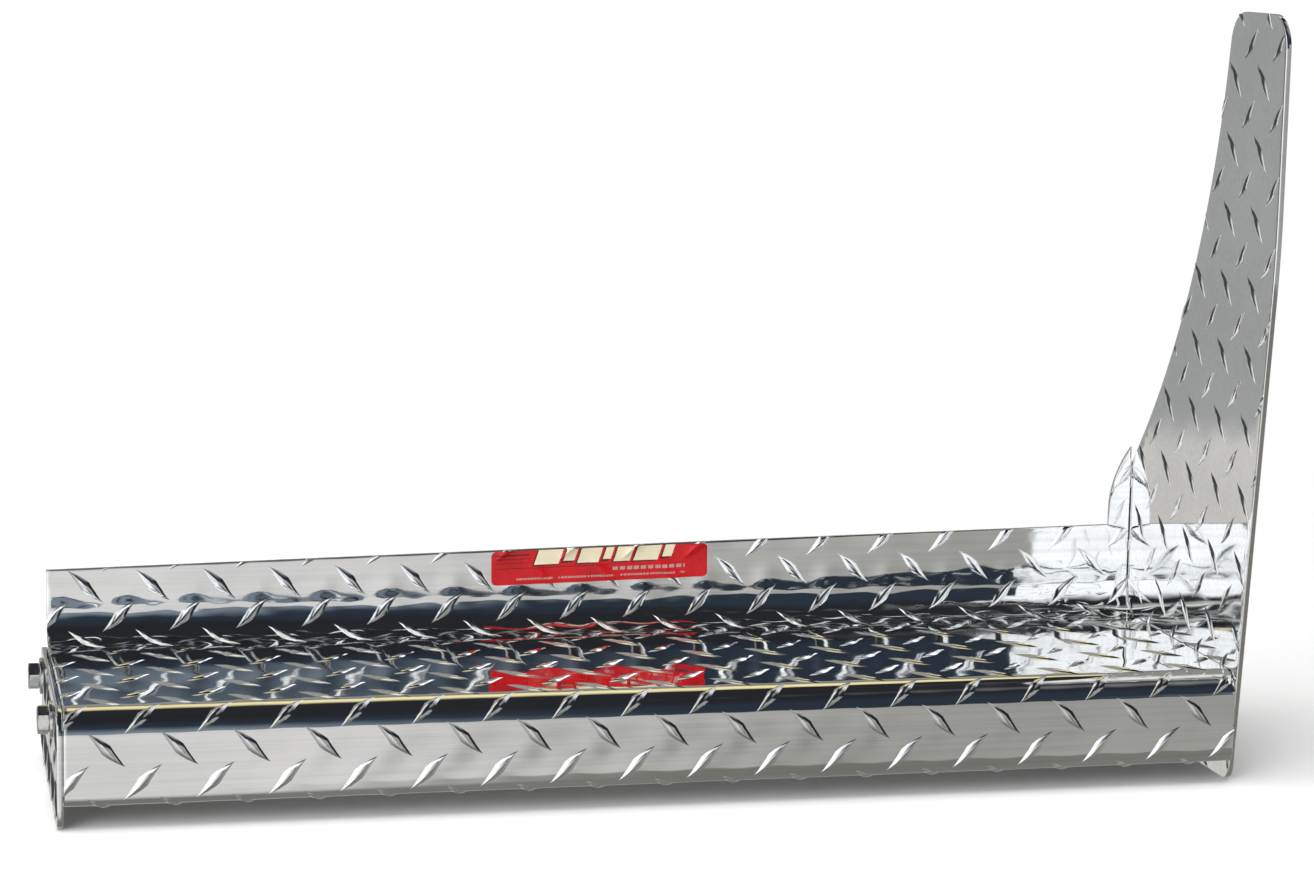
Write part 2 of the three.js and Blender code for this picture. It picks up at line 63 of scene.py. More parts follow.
EXTRUSION_SHARP = math.radians(50)

Array = np.ndarray
Triple = tuple[float, float, float]
Colour = tuple[float, float, float, float]
Input = float | tuple | bpy.types.NodeSocket


class Slot(Enum):
    """Names for the material slots."""

    PLATE = "bright_tread_plate"
    MILL = "mill_aluminium"
    ZINC = "zinc_steel"
    WELD = "weld_metal"
    LABEL = "label_film"


class Side(Enum):
    """An end of the board, by the way its outside faces along X."""

    LEFT = -1
    RIGHT = 1


# ---- Meshes --------------------------------------------------------------------------------------


@dataclass(frozen=True)
class BoardFrame:
    """Where the board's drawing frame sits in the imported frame."""

    origin: Vector

    @classmethod
    def from_nodes(cls) -> "BoardFrame":
        """Reads the frame off the sheet's left end and the end plate's front and top."""
        sheet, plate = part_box("tread_board"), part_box("left_end_plate")
        return cls(Vector((sheet[0].x, plate[0].y, plate[1].z)))

    def to_row(self, points: Array) -> Array:
        """Millimetres in the board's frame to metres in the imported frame."""
        return points * MM + np.array(self.origin)


@dataclass
class Patch:
    """Points and the faces between them, as arrays of point numbers with one row for each face."""

    points: Array
    faces: list[Array] = field(default_factory=list)


def grid_patch(points: Array, close_rows: bool = False, close_columns: bool = False) -> Patch:
    """Quads over a grid of points.

    Args:
        points: rows x columns x 3.
        close_rows: joins the last row to the first.
        close_columns: joins the last column to the first.

    Returns:
        The patch, with rows - 1 by columns - 1 quads, or one more where it closes.
    """
    rows, columns = points.shape[:2]
    number = np.arange(rows * columns).reshape(rows, columns)
    if close_rows:
        number = np.vstack([number, number[:1]])
    if close_columns:
        number = np.hstack([number, number[:, :1]])
    quads = np.stack([number[:-1, :-1], number[:-1, 1:], number[1:, 1:], number[1:, :-1]], axis=-1)
    return Patch(points.reshape(-1, 3), [quads.reshape(-1, 4)])


def joined(patches: Sequence[Patch]) -> Patch:
    """Puts patches together.

    Args:
        patches: the patches, which keep their own points.

    Returns:
        One patch that holds them all.
    """
    starts = np.cumsum([0] + [len(patch.points) for patch in patches[:-1]])
    faces = [array + start for patch, start in zip(patches, starts) for array in patch.faces]
    return Patch(np.vstack([patch.points for patch in patches]), faces)


def mesh_of(name: str, patch: Patch, merge: float = 0.01) -> bpy.types.Mesh:
    """A mesh with merged doubles and outward faces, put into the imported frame.

    Args:
        name: the mesh's name.
        patch: its points in millimetres, and its faces.
        merge: points closer than this, in millimetres, become one.

    Returns:
        The mesh, smooth but for edges over 38 degrees.
    """
    corners = np.concatenate([array.ravel() for array in patch.faces])
    sizes = np.concatenate([np.full(len(array), array.shape[1]) for array in patch.faces])
    mesh = bpy.data.meshes.new(name)
    mesh.vertices.add(len(patch.points))
    mesh.vertices.foreach_set("co", BOARD.to_row(patch.points).astype(np.float32).ravel())
    mesh.loops.add(len(corners))
    mesh.loops.foreach_set("vertex_index", corners.astype(np.int32))
    mesh.polygons.add(len(sizes))
    mesh.polygons.foreach_set("loop_start", (np.cumsum(sizes) - sizes).astype(np.int32))
    mesh.update(calc_edges=True)
    tidy = bmesh.new()
    tidy.from_mesh(mesh)
    bmesh.ops.remove_doubles(tidy, verts=tidy.verts, dist=merge * MM)
    bmesh.ops.dissolve_degenerate(tidy, edges=tidy.edges, dist=merge * MM)
    bmesh.ops.recalc_face_normals(tidy, faces=tidy.faces)
    tidy.to_mesh(mesh)
    tidy.free()
    mesh.shade_smooth()
    mesh.set_sharp_from_angle(angle=PLATE_SHARP)
    return mesh


def add_piece(
    mesh: bpy.types.Mesh, material: bpy.types.Material, replaces: Sequence[str]
) -> bpy.types.Object:
    """Links a finished mesh as a piece that rides on the root body and stands for CAD nodes.

    Args:
        mesh: the mesh, which gives the piece its name.
        material: its finish.
        replaces: the CAD nodes that it stands for.

    Returns:
        The piece.
    """
    piece = bpy.data.objects.new(mesh.name, mesh)
    bpy.context.scene.collection.objects.link(piece)
    piece.data.materials.append(material)
    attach(piece, "root")
    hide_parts(*replaces)
    log.info("%s: %d faces, for %s", piece.name, len(mesh.polygons), ", ".join(replaces))
    return piece


def smoothstep(low: float, high: float, value: Array) -> Array:
    """0 below low, 1 above high, and 3t^2 - 2t^3 between."""
    t = np.clip((value - low) / (high - low), 0.0, 1.0)
    return t * t * (3 - 2 * t)


def quarter_round(radius: float) -> tuple[Array, Array]:
    """Four steps down a rounded edge: how far out, R sin q, and how far down, R (1 - cos q)."""
    q = np.linspace(0, math.pi / 2, 4)
    return radius * np.sin(q), radius * (1 - np.cos(q))


# ---- Node graphs ---------------------------------------------------------------------------------


class Graph:
    """A short way to write a node tree."""

    def __init__(self, tree: bpy.types.NodeTree) -> None:
        """Empties the tree."""
        self.tree = tree
        tree.nodes.clear()

    def add(self, kind: str, inputs: dict | None = None, **settings) -> bpy.types.Node:
        """Adds a node.

        Args:
            kind: the node's type name.
            inputs: socket name or number to a value, or to another node's output socket.
            settings: the node's own properties.

        Returns:
            The node.
        """
        node = self.tree.nodes.new(kind)
        for key, value in settings.items():
            setattr(node, key, value)
        for key, value in (inputs or {}).items():
            if isinstance(value, bpy.types.NodeSocket):
                self.tree.links.new(value, node.inputs[key])
            else:
                node.inputs[key].default_value = value
        return node

    def math(self, operation: str, *values: Input) -> bpy.types.NodeSocket:
        """A Math node's result."""
        return self.add("ShaderNodeMath", dict(enumerate(values)), operation=operation).outputs[0]

    def ramp(
        self, value: Input, low: float, high: float, start: float = 0.0, end: float = 1.0
    ) -> bpy.types.NodeSocket:
        """Value between low and high taken smoothly to start and end."""
        sockets = {"Value": value, "From Min": low, "From Max": high, "To Min": start, "To Max": end}
        return self.add("ShaderNodeMapRange", sockets, interpolation_type="SMOOTHSTEP").outputs[0]

    def mix(self, factor: Input, first: Input, second: Input) -> bpy.types.NodeSocket:
        """A colour mix: the first colour at factor 0 and the second at 1."""
        return self.add("ShaderNodeMix", {0: factor, 6: first, 7: second}, data_type="RGBA").outputs[2]

    def noise(
        self, vector: Input, scale: float, detail: float = 3.0, roughness: float = 0.55
    ) -> bpy.types.NodeSocket:
        """A noise texture's value."""
        sockets = {"Vector": vector, "Scale": scale, "Detail": detail, "Roughness": roughness}
        return self.add("ShaderNodeTexNoise", sockets).outputs[0]

    def stretched(self, vector: Input, scale: Triple) -> bpy.types.NodeSocket:
        """Coordinates scaled along each axis."""
        return self.add("ShaderNodeMapping", {"Vector": vector, "Scale": scale}).outputs[0]

    def bump(self, height: Input, strength: float, distance: float, **normal: Input) -> bpy.types.NodeSocket:
        """A bump's normal, over the one given as Normal."""
        sockets = {"Height": height, "Strength": strength, "Distance": distance, **normal}
        return self.add("ShaderNodeBump", sockets).outputs[0]

    def place(self) -> bpy.types.NodeSocket:
        """Object coordinates."""
        return self.add("ShaderNodeTexCoord").outputs["Object"]

    def finish(self, kind: str, inputs: dict) -> None:
        """Adds a shader node of the given kind and makes it the material's surface."""
        shader = self.add(kind, inputs)
        self.add("ShaderNodeOutputMaterial", {"Surface": shader.outputs[0]})


def new_material(name: str) -> tuple[bpy.types.Material, Graph]:
    """An empty material.

    Args:
        name: its name.

    Returns:
        The material and its graph.
    """
    material = bpy.data.materials.new(name)
    material.use_nodes = True
    return material, Graph(material.node_tree)


def rgba(red: float, green: float, blue: float) -> Colour:
    """An opaque linear colour."""
    return (red, green, blue, 1.0)


@dataclass(frozen=True)
class MetalFinish:
    """A bare metal with clouds of slightly different colour and polish, and lines from its rolling."""

    name: str
    light: Colour
    dark: Colour
    polish: tuple[float, float]  # roughness at its smoothest and its dullest
    cloud_scale: float  # per metre
    line_scale: Triple
    line_strength: float
    grain_scale: float
    grain_strength: float
    line_share: float = 0.45  # how much of the dullness follows the lines, and how much the clouds
    cloud_share: float = 0.55
    spot_share: float = 0.35  # what a dull spot adds

    def build(self) -> bpy.types.Material:
        """Makes the material.

        Returns:
            A metal whose polish follows its clouds, its rolling lines and a few duller spots.
        """
        material, graph = new_material(self.name)
        place = graph.place()
        clouds = graph.noise(place, self.cloud_scale, 5.0)
        lines = graph.noise(graph.stretched(place, self.line_scale), 1.0, 4.0, 0.6)
        spots = graph.ramp(graph.noise(place, self.cloud_scale * 5, 2.0), 0.62, 0.74)
        dull = graph.math("MULTIPLY", clouds, self.cloud_share)
        dull = graph.ramp(graph.math("MULTIPLY_ADD", lines, self.line_share, dull), 0.35, 0.68)
        dull = graph.math("ADD", dull, graph.math("MULTIPLY", spots, self.spot_share))
        roughness = graph.ramp(dull, 0.0, 1.3, *self.polish)
        colour = graph.mix(graph.ramp(graph.math("ADD", clouds, lines), 0.8, 1.25), self.light, self.dark)
        grain = graph.noise(place, self.grain_scale, 2.0)
        normal = graph.bump(lines, self.line_strength, 0.0002)
        normal = graph.bump(grain, self.grain_strength, 0.0001, Normal=normal)
        sockets = {"Base Color": colour, "Metallic": 1.0, "Roughness": roughness, "Normal": normal}
        graph.finish("ShaderNodeBsdfPrincipled", sockets)
        return material


BRIGHT_PLATE = MetalFinish(
    name="bright_rolled_plate",
    light=rgba(0.90, 0.905, 0.905),
    dark=rgba(0.80, 0.805, 0.80),
    polish=(0.03, 0.085),
    cloud_scale=14.0,
    line_scale=(5.0, 420.0, 420.0),
    line_strength=0.012,
    grain_scale=900.0,
    grain_strength=0.012,
)
MILL_ALUMINIUM = MetalFinish(
    name="mill_drawn_aluminium",
    light=rgba(0.74, 0.745, 0.75),
    dark=rgba(0.58, 0.585, 0.59),
    polish=(0.26, 0.42),
    cloud_scale=20.0,
    line_scale=(3.0, 900.0, 900.0),
    line_strength=0.25,
    grain_scale=1400.0,
    grain_strength=0.12,
)
ZINC = MetalFinish(
    name="zinc_plated_steel",
    light=rgba(0.80, 0.80, 0.78),
    dark=rgba(0.62, 0.63, 0.66),
    polish=(0.14, 0.30),
    cloud_scale=110.0,
    line_scale=(300.0, 300.0, 300.0),
    line_strength=0.10,
    grain_scale=2600.0,
    grain_strength=0.15,
)
WELD = MetalFinish(
    name="weld_bead_metal",
    light=rgba(0.62, 0.62, 0.61),
    dark=rgba(0.34, 0.34, 0.35),
    polish=(0.28, 0.5),
    cloud_scale=160.0,
    line_scale=(500.0, 500.0, 500.0),
    line_strength=0.3,
    grain_scale=2000.0,
    grain_strength=0.3,
)


@dataclass(frozen=True)
class LabelFinish:
    """Printed vinyl film: a red ground with cream and dark ink where the mesh's attributes say."""

    name: str = "printed_red_film"
    ground: Colour = rgba(0.60, 0.006, 0.010)
    cream: Colour = rgba(0.83, 0.74, 0.52)
    dark: Colour = rgba(0.10, 0.012, 0.014)
    pale: Colour = rgba(0.50, 0.30, 0.28)
    wear: float = 0.82  # how dark the worn ground is

    def build(self) -> bpy.types.Material:
        """Makes the material.

        Returns:
            Clouded red film, with each ink mixed over it by its attribute, ink_dark, ink_pale or ink_cream.
        """
        material, graph = new_material(self.name)
        place = graph.place()
        fade = graph.noise(place, 60.0, 4.0)
        worn = rgba(*[value * self.wear for value in self.ground[:3]])
        colour = graph.mix(graph.ramp(fade, 0.4, 0.7), self.ground, worn)
        for ink in ("dark", "pale", "cream"):
            mask = graph.add("ShaderNodeAttribute", attribute_name=f"ink_{ink}").outputs["Fac"]
            colour = graph.mix(graph.ramp(mask, 0.35, 0.65), colour, getattr(self, ink))
        roughness = graph.ramp(graph.noise(place, 200.0), 0.3, 0.7, 0.26, 0.40)
        normal = graph.bump(graph.noise(place, 1200.0, 1.0), 0.06, 0.0002)
        sockets = {"Base Color": colour, "Roughness": roughness, "Normal": normal}
        graph.finish("ShaderNodeBsdfPrincipled", sockets)
        return material


# ---- Tread lugs ----------------------------------------------------------------------------------

PITCH_ALONG, PITCH_ACROSS = 38.1, 35.4  # the rolled pattern, along the sheet and across it
LEANS = ((1.0, 0.0), (-1.0, 0.5))  # each lean's sign, and its offset from the lattice in pitches


@dataclass(frozen=True)
class LugPattern:
    """A staggered pattern of slim raised lugs on a surface with coordinates a and b.

    Lugs that lean right stand on a lattice through the anchor, and lugs that lean left stand half a pitch
    from it both ways.
    """

    pitch_a: float
    pitch_b: float
    anchor_a: float
    anchor_b: float
    length: float = 28.0
    width: float = 6.8
    height: float = 1.4
    sink: float = 0.3  # how far the foot reaches into the plate
    kink: float = 0.45  # sideways bow of each half, to opposite sides
    knuckle: float = 0.16  # extra height and width at the middle
    dish: float = 0.07  # how much the plate rises towards each lug
    wander: float = 0.07  # how far the whole plate wanders from true

    @property
    def direction(self) -> Array:
        """Unit vector along a lug that leans right."""
        return np.array([self.pitch_a, self.pitch_b]) / math.hypot(self.pitch_a, self.pitch_b)

    def places(self, a_range: tuple[float, float], b_range: tuple[float, float]) -> Array:
        """Finds the lugs in a rectangle.

        Args:
            a_range: its lowest and highest a.
            b_range: its lowest and highest b.

        Returns:
            Their centres, as rows of a, b and lean (+1 right, -1 left).
        """
        found = []
        for lean, offset in LEANS:
            first_a = math.ceil((a_range[0] - self.anchor_a) / self.pitch_a - offset)
            last_a = math.floor((a_range[1] - self.anchor_a) / self.pitch_a - offset)
            first_b = math.ceil((b_range[0] - self.anchor_b) / self.pitch_b - offset)
            last_b = math.floor((b_range[1] - self.anchor_b) / self.pitch_b - offset)
            a, b = np.meshgrid(np.arange(first_a, last_a + 1), np.arange(first_b, last_b + 1), indexing="ij")
            a = self.anchor_a + (a.ravel() + offset) * self.pitch_a
            b = self.anchor_b + (b.ravel() + offset) * self.pitch_b
            found.append(np.stack([a, b, np.full_like(a, lean)], axis=1))
        return np.vstack(found)

    def outline(self, t: Array) -> tuple[Array, Array, Array]:
        """A lug's plan and ridge line.

        The half width is W/2 (1 - |t|^1.4) and the ridge 0.88 H (1 - |t|^1.9), each with a small knuckle
        exp(-(t/0.09)^2) at the middle. The bow is 4k t (1 - |t|).

        Args:
            t: from -1 at one tip to 1 at the other.

        Returns:
            Half width, ridge height and sideways bow at t.
        """
        reach = np.minimum(np.abs(t), 1.0)
        knuckle = self.knuckle * np.exp(-((t / 0.09) ** 2))
        half = self.width / 2 * (1 - reach**1.4) + 1.4 * knuckle
        ridge = 0.88 * self.height * (1 - reach**1.9) + knuckle
        return half, ridge, 4 * self.kink * t * (1 - reach)

    def bodies(self, places: Array, to_space: Callable[[Array, Array, Array], Array]) -> Patch:
        """Closed bodies for the lugs at the given places.

        Args:
            places: rows of a, b and lean.
            to_space: turns arrays of a, b and height above the surface into points.

        Returns:
            A patch in which h = H (1 - |v|^1.45) across each lug.
        """
        t = np.array([-1.0, -0.82, -0.56, -0.26, 0.0, 0.26, 0.56, 0.82, 1.0])
        v = np.array([-1.0, -0.74, -0.4, 0.0, 0.4, 0.74, 1.0])
        half, ridge, bow = self.outline(t)
        along = self.direction
        u = np.broadcast_to((t * self.length / 2)[:, None], (len(t), len(v)))
        w = bow[:, None] + v[None, :] * half[:, None]
        h = (ridge + self.sink)[:, None] * (1 - np.abs(v[None, :]) ** 1.45) - self.sink
        lean = places[:, 2][:, None, None]
        a = places[:, 0][:, None, None] + (u * along[0] - w * along[1])[None] * lean
        b = places[:, 1][:, None, None] + (u * along[1] + w * along[0])[None]
        points = to_space(a, b, np.broadcast_to(h[None], a.shape))
        return joined([grid_patch(lug, close_columns=True) for lug in points])

    def height_at(self, a: Array, b: Array) -> Array:
        """How high the lugs stand over points of the plate.

        Args:
            a: the points' first coordinate.
            b: their second.

        Returns:
            Height of the nearest lug's surface over each point, and 0 between lugs.
        """
        along = self.direction
        top = np.zeros_like(a)
        for lean, offset in LEANS:
            from_a = (a - self.anchor_a) / self.pitch_a - offset
            from_b = (b - self.anchor_b) / self.pitch_b - offset
            near_a = (from_a - np.round(from_a)) * self.pitch_a * lean
            near_b = (from_b - np.round(from_b)) * self.pitch_b
            t = (near_a * along[0] + near_b * along[1]) / (self.length / 2)
            w = -near_a * along[1] + near_b * along[0]
            half, ridge, bow = self.outline(t)
            across = np.abs(w - bow) / np.maximum(half, 0.05)
            inside = (np.abs(t) < 1) & (across < 1)
            top = np.maximum(top, np.where(inside, ridge * (1 - across**1.45), 0.0))
        return top

    def dishing(self, a: Array, b: Array) -> Array:
        """How the plate itself swells round its lugs.

        It is d cos(2 pi a/p) cos(2 pi b/q), which is highest at the lugs of both leans, and a slow wander of
        the whole plate.

        Args:
            a: first coordinate of the points.
            b: their second.

        Returns:
            How far the plate stands off its true surface there.
        """
        phase_a = TURN * (a - self.anchor_a) / self.pitch_a
        phase_b = TURN * (b - self.anchor_b) / self.pitch_b
        wander = np.sin(a / 47.0 + 0.6 * np.sin(b / 31.0)) * np.cos(b / 39.0 + a / 190.0)
        return self.dish * np.cos(phase_a) * np.cos(phase_b) + self.wander * wander


# ---- Bent sheet ----------------------------------------------------------------------------------


@dataclass(frozen=True)
class BentProfile:
    """The sheet's visible surface from the lip's inner edge, by distance s along it and height h above it."""

    depth: float = 175.0
    skirt: float = 52.0
    nose: float = 15.0
    back: float = 19.0
    lip_width: float = 20.0
    lip_radius: float = 6.0

    def stretches(self) -> list[tuple[float, float]]:
        """The surface's straight and bent stretches, in order.

        Returns:
            (length, signed bend radius) of each, with radius 0 on a straight one.
        """
        quarter = math.pi / 2
        return [
            (self.lip_width - self.lip_radius, 0.0),
            (quarter * self.lip_radius, -self.lip_radius),
            (self.skirt - self.lip_radius - self.nose, 0.0),
            (quarter * self.nose, -self.nose),
            (self.depth - self.nose - self.back, 0.0),
            (quarter * self.back, self.back),
            (1000.0, 0.0),  # the panel, whose own top edge ends it
        ]

    def girth(self, count: int) -> float:
        """Distance along the surface to the end of the first stretches."""
        return sum(length for length, _ in self.stretches()[:count])

    def place(self, s: Array, h: Array) -> tuple[Array, Array]:
        """Lays the surface out across the board.

        Each stretch adds step (cos a, sin a) where it is straight, and r (sin a' - sin a, cos a - cos a')
        where it bends from heading a to a'. The height goes along the normal (-sin a, cos a).

        Args:
            s: distance along the surface from the lip's inner edge.
            h: height above the surface.

        Returns:
            y and z.
        """
        y = np.full(np.shape(s), self.lip_width)
        z = np.full(np.shape(s), -self.skirt)
        heading = np.full(np.shape(s), math.pi)
        start = 0.0
        for length, radius in self.stretches():
            low = -np.inf if start == 0 else 0.0
            step = np.clip(s - start, low, length)
            if radius == 0:
                y, z = y + step * np.cos(heading), z + step * np.sin(heading)
            else:
                turned = heading + step / radius
                y = y + radius * (np.sin(turned) - np.sin(heading))
                z = z + radius * (np.cos(heading) - np.cos(turned))
                heading = turned
            start += length
        return y - h * np.sin(heading), z + h * np.cos(heading)


@dataclass(frozen=True)
class TreadSheet:
    """The bent sheet: lip, skirt, nose, step, back bend and back panel in one piece."""

    length: float = 655.0
    thickness: float = 2.5
    profile: BentProfile = BentProfile()
    lug_shift: float = 3.0  # x of a lug that leans right, in the row along the nose
    rise_left: float = 41.0
    rise_right: float = 54.0
    gusset_width: float = 13.0
    gusset_shoulder: float = 66.0
    gusset_top: float = 102.0
    gusset_bow: tuple[float, float] = (1 / 12, 0.55)  # the curve's control point, as shares of width and rise
    lean: float = 0.052  # radians that the free part of the panel leans back
    lean_fade: tuple[float, float] = (400.0, 610.0)  # x where the lean starts to fade, and where it is gone
    low_swell: float = 0.45  # height of the swells over the panel's lowest row of lugs
    low_swell_at: float = 8.5  # their height above the back bend
    ripple: float = 0.16  # ripples round the back bend, and finer ones
    fine_ripple: float = 0.1
    edge: float = 0.45  # radius of the sheared edges
    spacing: float = 3.0

    def pattern(self) -> LugPattern:
        """The lugs, counted from the row along the middle of the nose."""
        middle = (self.profile.girth(3) + self.profile.girth(4)) / 2
        return LugPattern(PITCH_ALONG, PITCH_ACROSS, self.lug_shift, middle)

    def top(self, x: Array) -> Array:
        """The panel's top edge: a slow slope, then the gusset's full curve.

        The curve is (1-t)^2 P + 2t(1-t) Q + t^2 R, from the shoulder P past the control point Q to the tip R.

        Args:
            x: distance from the sheet's left end.

        Returns:
            Height of the edge above the step.
        """
        start = self.length - self.gusset_width
        slope = self.rise_left + (self.rise_right - self.rise_left) * x / start
        t = np.linspace(0, 1, 200)
        past, rise = 2 * t * (1 - t), self.gusset_top - self.gusset_shoulder
        along = self.gusset_width * (past * self.gusset_bow[0] + t**2)
        up = self.gusset_shoulder + rise * (past * self.gusset_bow[1] + t**2)
        return np.where(x > start, np.interp(x - start, along, up), slope)

    def end_girth(self, x: Array) -> Array:
        """Distance along the surface at the panel's top edge."""
        return self.profile.girth(6) + self.top(x) - self.profile.back

    def swell(self, x: Array, s: Array) -> Array:
        """How far the sheet's face stands off its profile.

        To the pattern's dishing it adds three things. The free part of the back panel leans back, less and
        less towards the guard. A low swell A exp(1.4 (cos(2 pi (x - x0)/p) - 1)) exp(-(u/6)^2) lies over each
        lug of the panel's lowest row, where u is the distance above the lug. Ripples run round the back bend,
        where the brake pulled the lugs straight.

        Args:
            x: distance from the sheet's left end.
            s: distance along its surface.

        Returns:
            The height to add there.
        """
        pattern, bend_start, foot = self.pattern(), self.profile.girth(5), self.profile.girth(6)
        above = np.sqrt(np.maximum(s - foot + 3.0, 0.0) ** 2 + 4.0) - 2.0
        lean = self.lean * (1 - smoothstep(*self.lean_fade, x)) * above
        phase = TURN * (x - self.lug_shift - 3.0) / pattern.pitch_a
        low = self.low_swell * np.exp(1.4 * (np.cos(phase) - 1))
        low = low * np.exp(-(((s - foot - self.low_swell_at) / 6) ** 2))
        bend = smoothstep(bend_start - 12, bend_start + 6, s) * (1 - smoothstep(foot - 6, foot + 2, s))
        ripple = self.ripple * np.cos(phase) * np.sin(s / 2.6 + 0.8 * np.sin(phase))
        ripple = ripple + self.fine_ripple * np.sin(s / 1.9 + x / 23.0)
        return pattern.dishing(x, s) - lean + low + bend * ripple

    def on_surface(self, x: Array, s: Array, h: Array) -> Array:
        """Points at x, s and h, with the sheet's swell added."""
        y, z = self.profile.place(s, h + self.swell(x, s))
        return np.stack([x, y, z], axis=-1)

    def columns(self) -> tuple[Array, Array]:
        """Goes once round the sheet's section across its bends.

        The loop starts half way down the left edge, so that its halves mirror each other. It goes along the
        face, round the right edge and back along the underside.

        Returns:
            x, and depth below the face.
        """
        start, right = self.length - self.gusset_width, self.length - self.edge
        gusset = start + np.array([-0.15, 0.15, 0.5, 1.0, 2.0, 3.5, 5.5, 7.5, 9.5, 11.2])
        along = np.arange(self.spacing, start - 2, self.spacing)
        flat = np.concatenate([[self.edge], along, gusset, [right]])
        out, down = (values[1:] for values in quarter_round(self.edge))
        right_x = np.concatenate([right + out, (right + out)[::-1]])
        down = np.concatenate([down, self.thickness - down[::-1]])
        x = np.concatenate([flat, right_x, flat[::-1], self.length - right_x])
        below = np.concatenate([np.zeros_like(flat), down, np.full_like(flat, self.thickness), down[::-1]])
        return np.roll(x, 3), np.roll(below, 3)

    def rows(self) -> Array:
        """Where the sheet's cross sections stand, closer together round the bends.

        Returns:
            Distances along the surface, up to the back bend's end.
        """
        stations, start = [np.zeros(1)], 0.0
        for length, radius in self.profile.stretches()[:6]:
            pace = self.spacing if radius == 0 else self.spacing * 0.45
            steps = max(4, round(length / pace))
            stations.append(start + length * np.arange(1, steps + 1) / steps)
            start += length
        return np.concatenate(stations)

    def body(self) -> Patch:
        """The sheet as a tube of its section loop, drawn along its surface.

        Returns:
            The tube, rounded over and capped at the lip's edge and at the panel's top edge.
        """
        x, below = self.columns()
        lower, upper = self.rows(), np.linspace(0, 1, 15)[1:]
        end, start = self.end_girth(np.clip(x, 0, self.length)), self.profile.girth(6)
        out, down = (values[1:] for values in quarter_round(self.edge))
        panel = start + upper[:, None] * (end - start - self.edge)[None, :]
        s = np.vstack([
            np.broadcast_to((self.edge - out[::-1])[:, None], (len(out), len(x))),
            np.broadcast_to(np.maximum(lower, self.edge)[:, None], (len(lower), len(x))),
            panel,
            panel[-1:] + out[:, None],
        ])
        inset = np.concatenate([down[::-1], np.zeros(len(lower) + len(upper)), down])
        depth = np.clip(below[None, :], inset[:, None], (self.thickness - inset)[:, None])
        tube = grid_patch(self.on_surface(np.broadcast_to(x, s.shape), s, -depth), close_columns=True)
        face = np.arange(len(x) // 2)
        under = len(x) - 1 - face
        caps = np.stack([face[:-1], face[1:], under[1:], under[:-1]], axis=1)
        tube.faces += [caps, caps[:, ::-1] + (len(s) - 1) * len(x)]
        return tube

    def lugs(self) -> Patch:
        """The lugs, cut flush with the sheet's edges.

        Returns:
            One closed body for each lug.
        """
        pattern = self.pattern()
        reach = pattern.length / 2
        places = pattern.places((-reach, self.length + reach), (reach / 2, 400.0))
        room = self.end_girth(np.clip(places[:, 0], 0, self.length)) + reach * 0.6
        places = places[places[:, 1] < room]
        start = self.length - self.gusset_width
        shoulder = float(self.end_girth(np.array(start - 0.1)))

        def to_space(a: Array, b: Array, h: Array) -> Array:
            """Cuts a lug at the edges of the panel, or of the gusset if its middle is over the shoulder.

            Args:
                a: distance from the sheet's left end.
                b: distance along its surface.
                h: height above it.

            Returns:
                Points in the board's frame.
            """
            middle_a, middle_b = (value.mean(axis=(1, 2), keepdims=True) for value in (a, b))
            over = (middle_a > start) & (middle_b > shoulder - 3)
            inside = np.clip(a, np.where(over, start, 0.0), np.where(over, self.length, start - 0.1))
            below = ~over & (middle_a > start - 8) & (b < shoulder - 1)
            inside = np.where(below, np.clip(a, 0, self.length), inside)
            return self.on_surface(inside, np.clip(b, 0, self.end_girth(inside)), h)

        return pattern.bodies(places, to_space)

    def build(self, material: bpy.types.Material) -> bpy.types.Object:
        """Makes and returns the piece that stands for the tread board."""
        mesh = mesh_of("tread_sheet", joined([self.body(), self.lugs()]))
        return add_piece(mesh, material, ["tread_board"])


# ---- Flat plates ---------------------------------------------------------------------------------


def rounded_outline(corners: Sequence[Triple], pace: float = 2.5) -> Array:
    """A closed outline, counterclockwise, whose corners (a, b, radius) are arcs.

    Args:
        corners: the corners before rounding, counterclockwise, each with its radius.
        pace: the longest step between points.

    Returns:
        Points, as rows of a and b.
    """
    points = np.array([corner[:2] for corner in corners])
    pieces = []
    for i, (_, _, radius) in enumerate(corners):
        before, here, after = points[i - 1], points[i], points[(i + 1) % len(points)]
        back = (before - here) / np.linalg.norm(before - here)
        on = (after - here) / np.linalg.norm(after - here)
        half = math.acos(float(np.clip(back @ on, -1, 1))) / 2
        centre = here + (back + on) / np.linalg.norm(back + on) * radius / math.sin(half)
        first = here + back * radius / math.tan(half) - centre
        last = here + on * radius / math.tan(half) - centre
        sweep = math.atan2(first[0] * last[1] - first[1] * last[0], first @ last)
        steps = max(5, math.ceil(abs(sweep) * radius / pace))
        angle = math.atan2(first[1], first[0]) + sweep * np.linspace(0, 1, steps + 1)
        pieces.append(centre + radius * np.stack([np.cos(angle), np.sin(angle)], axis=1))
    filled = []
    for i, arc in enumerate(pieces):
        gap = pieces[(i + 1) % len(pieces)][0] - arc[-1]
        steps = max(1, math.ceil(np.linalg.norm(gap) / pace))
        filled += [arc, arc[-1] + gap * (np.arange(1, steps) / steps)[:, None]]
    return np.vstack(filled)


def circle(a: float, b: float, radius: float, count: int = 32) -> Array:
    """A clockwise circle, as the edge of a hole."""
    angle = -TURN * np.arange(count) / count
    return np.stack([a + radius * np.cos(angle), b + radius * np.sin(angle)], axis=1)


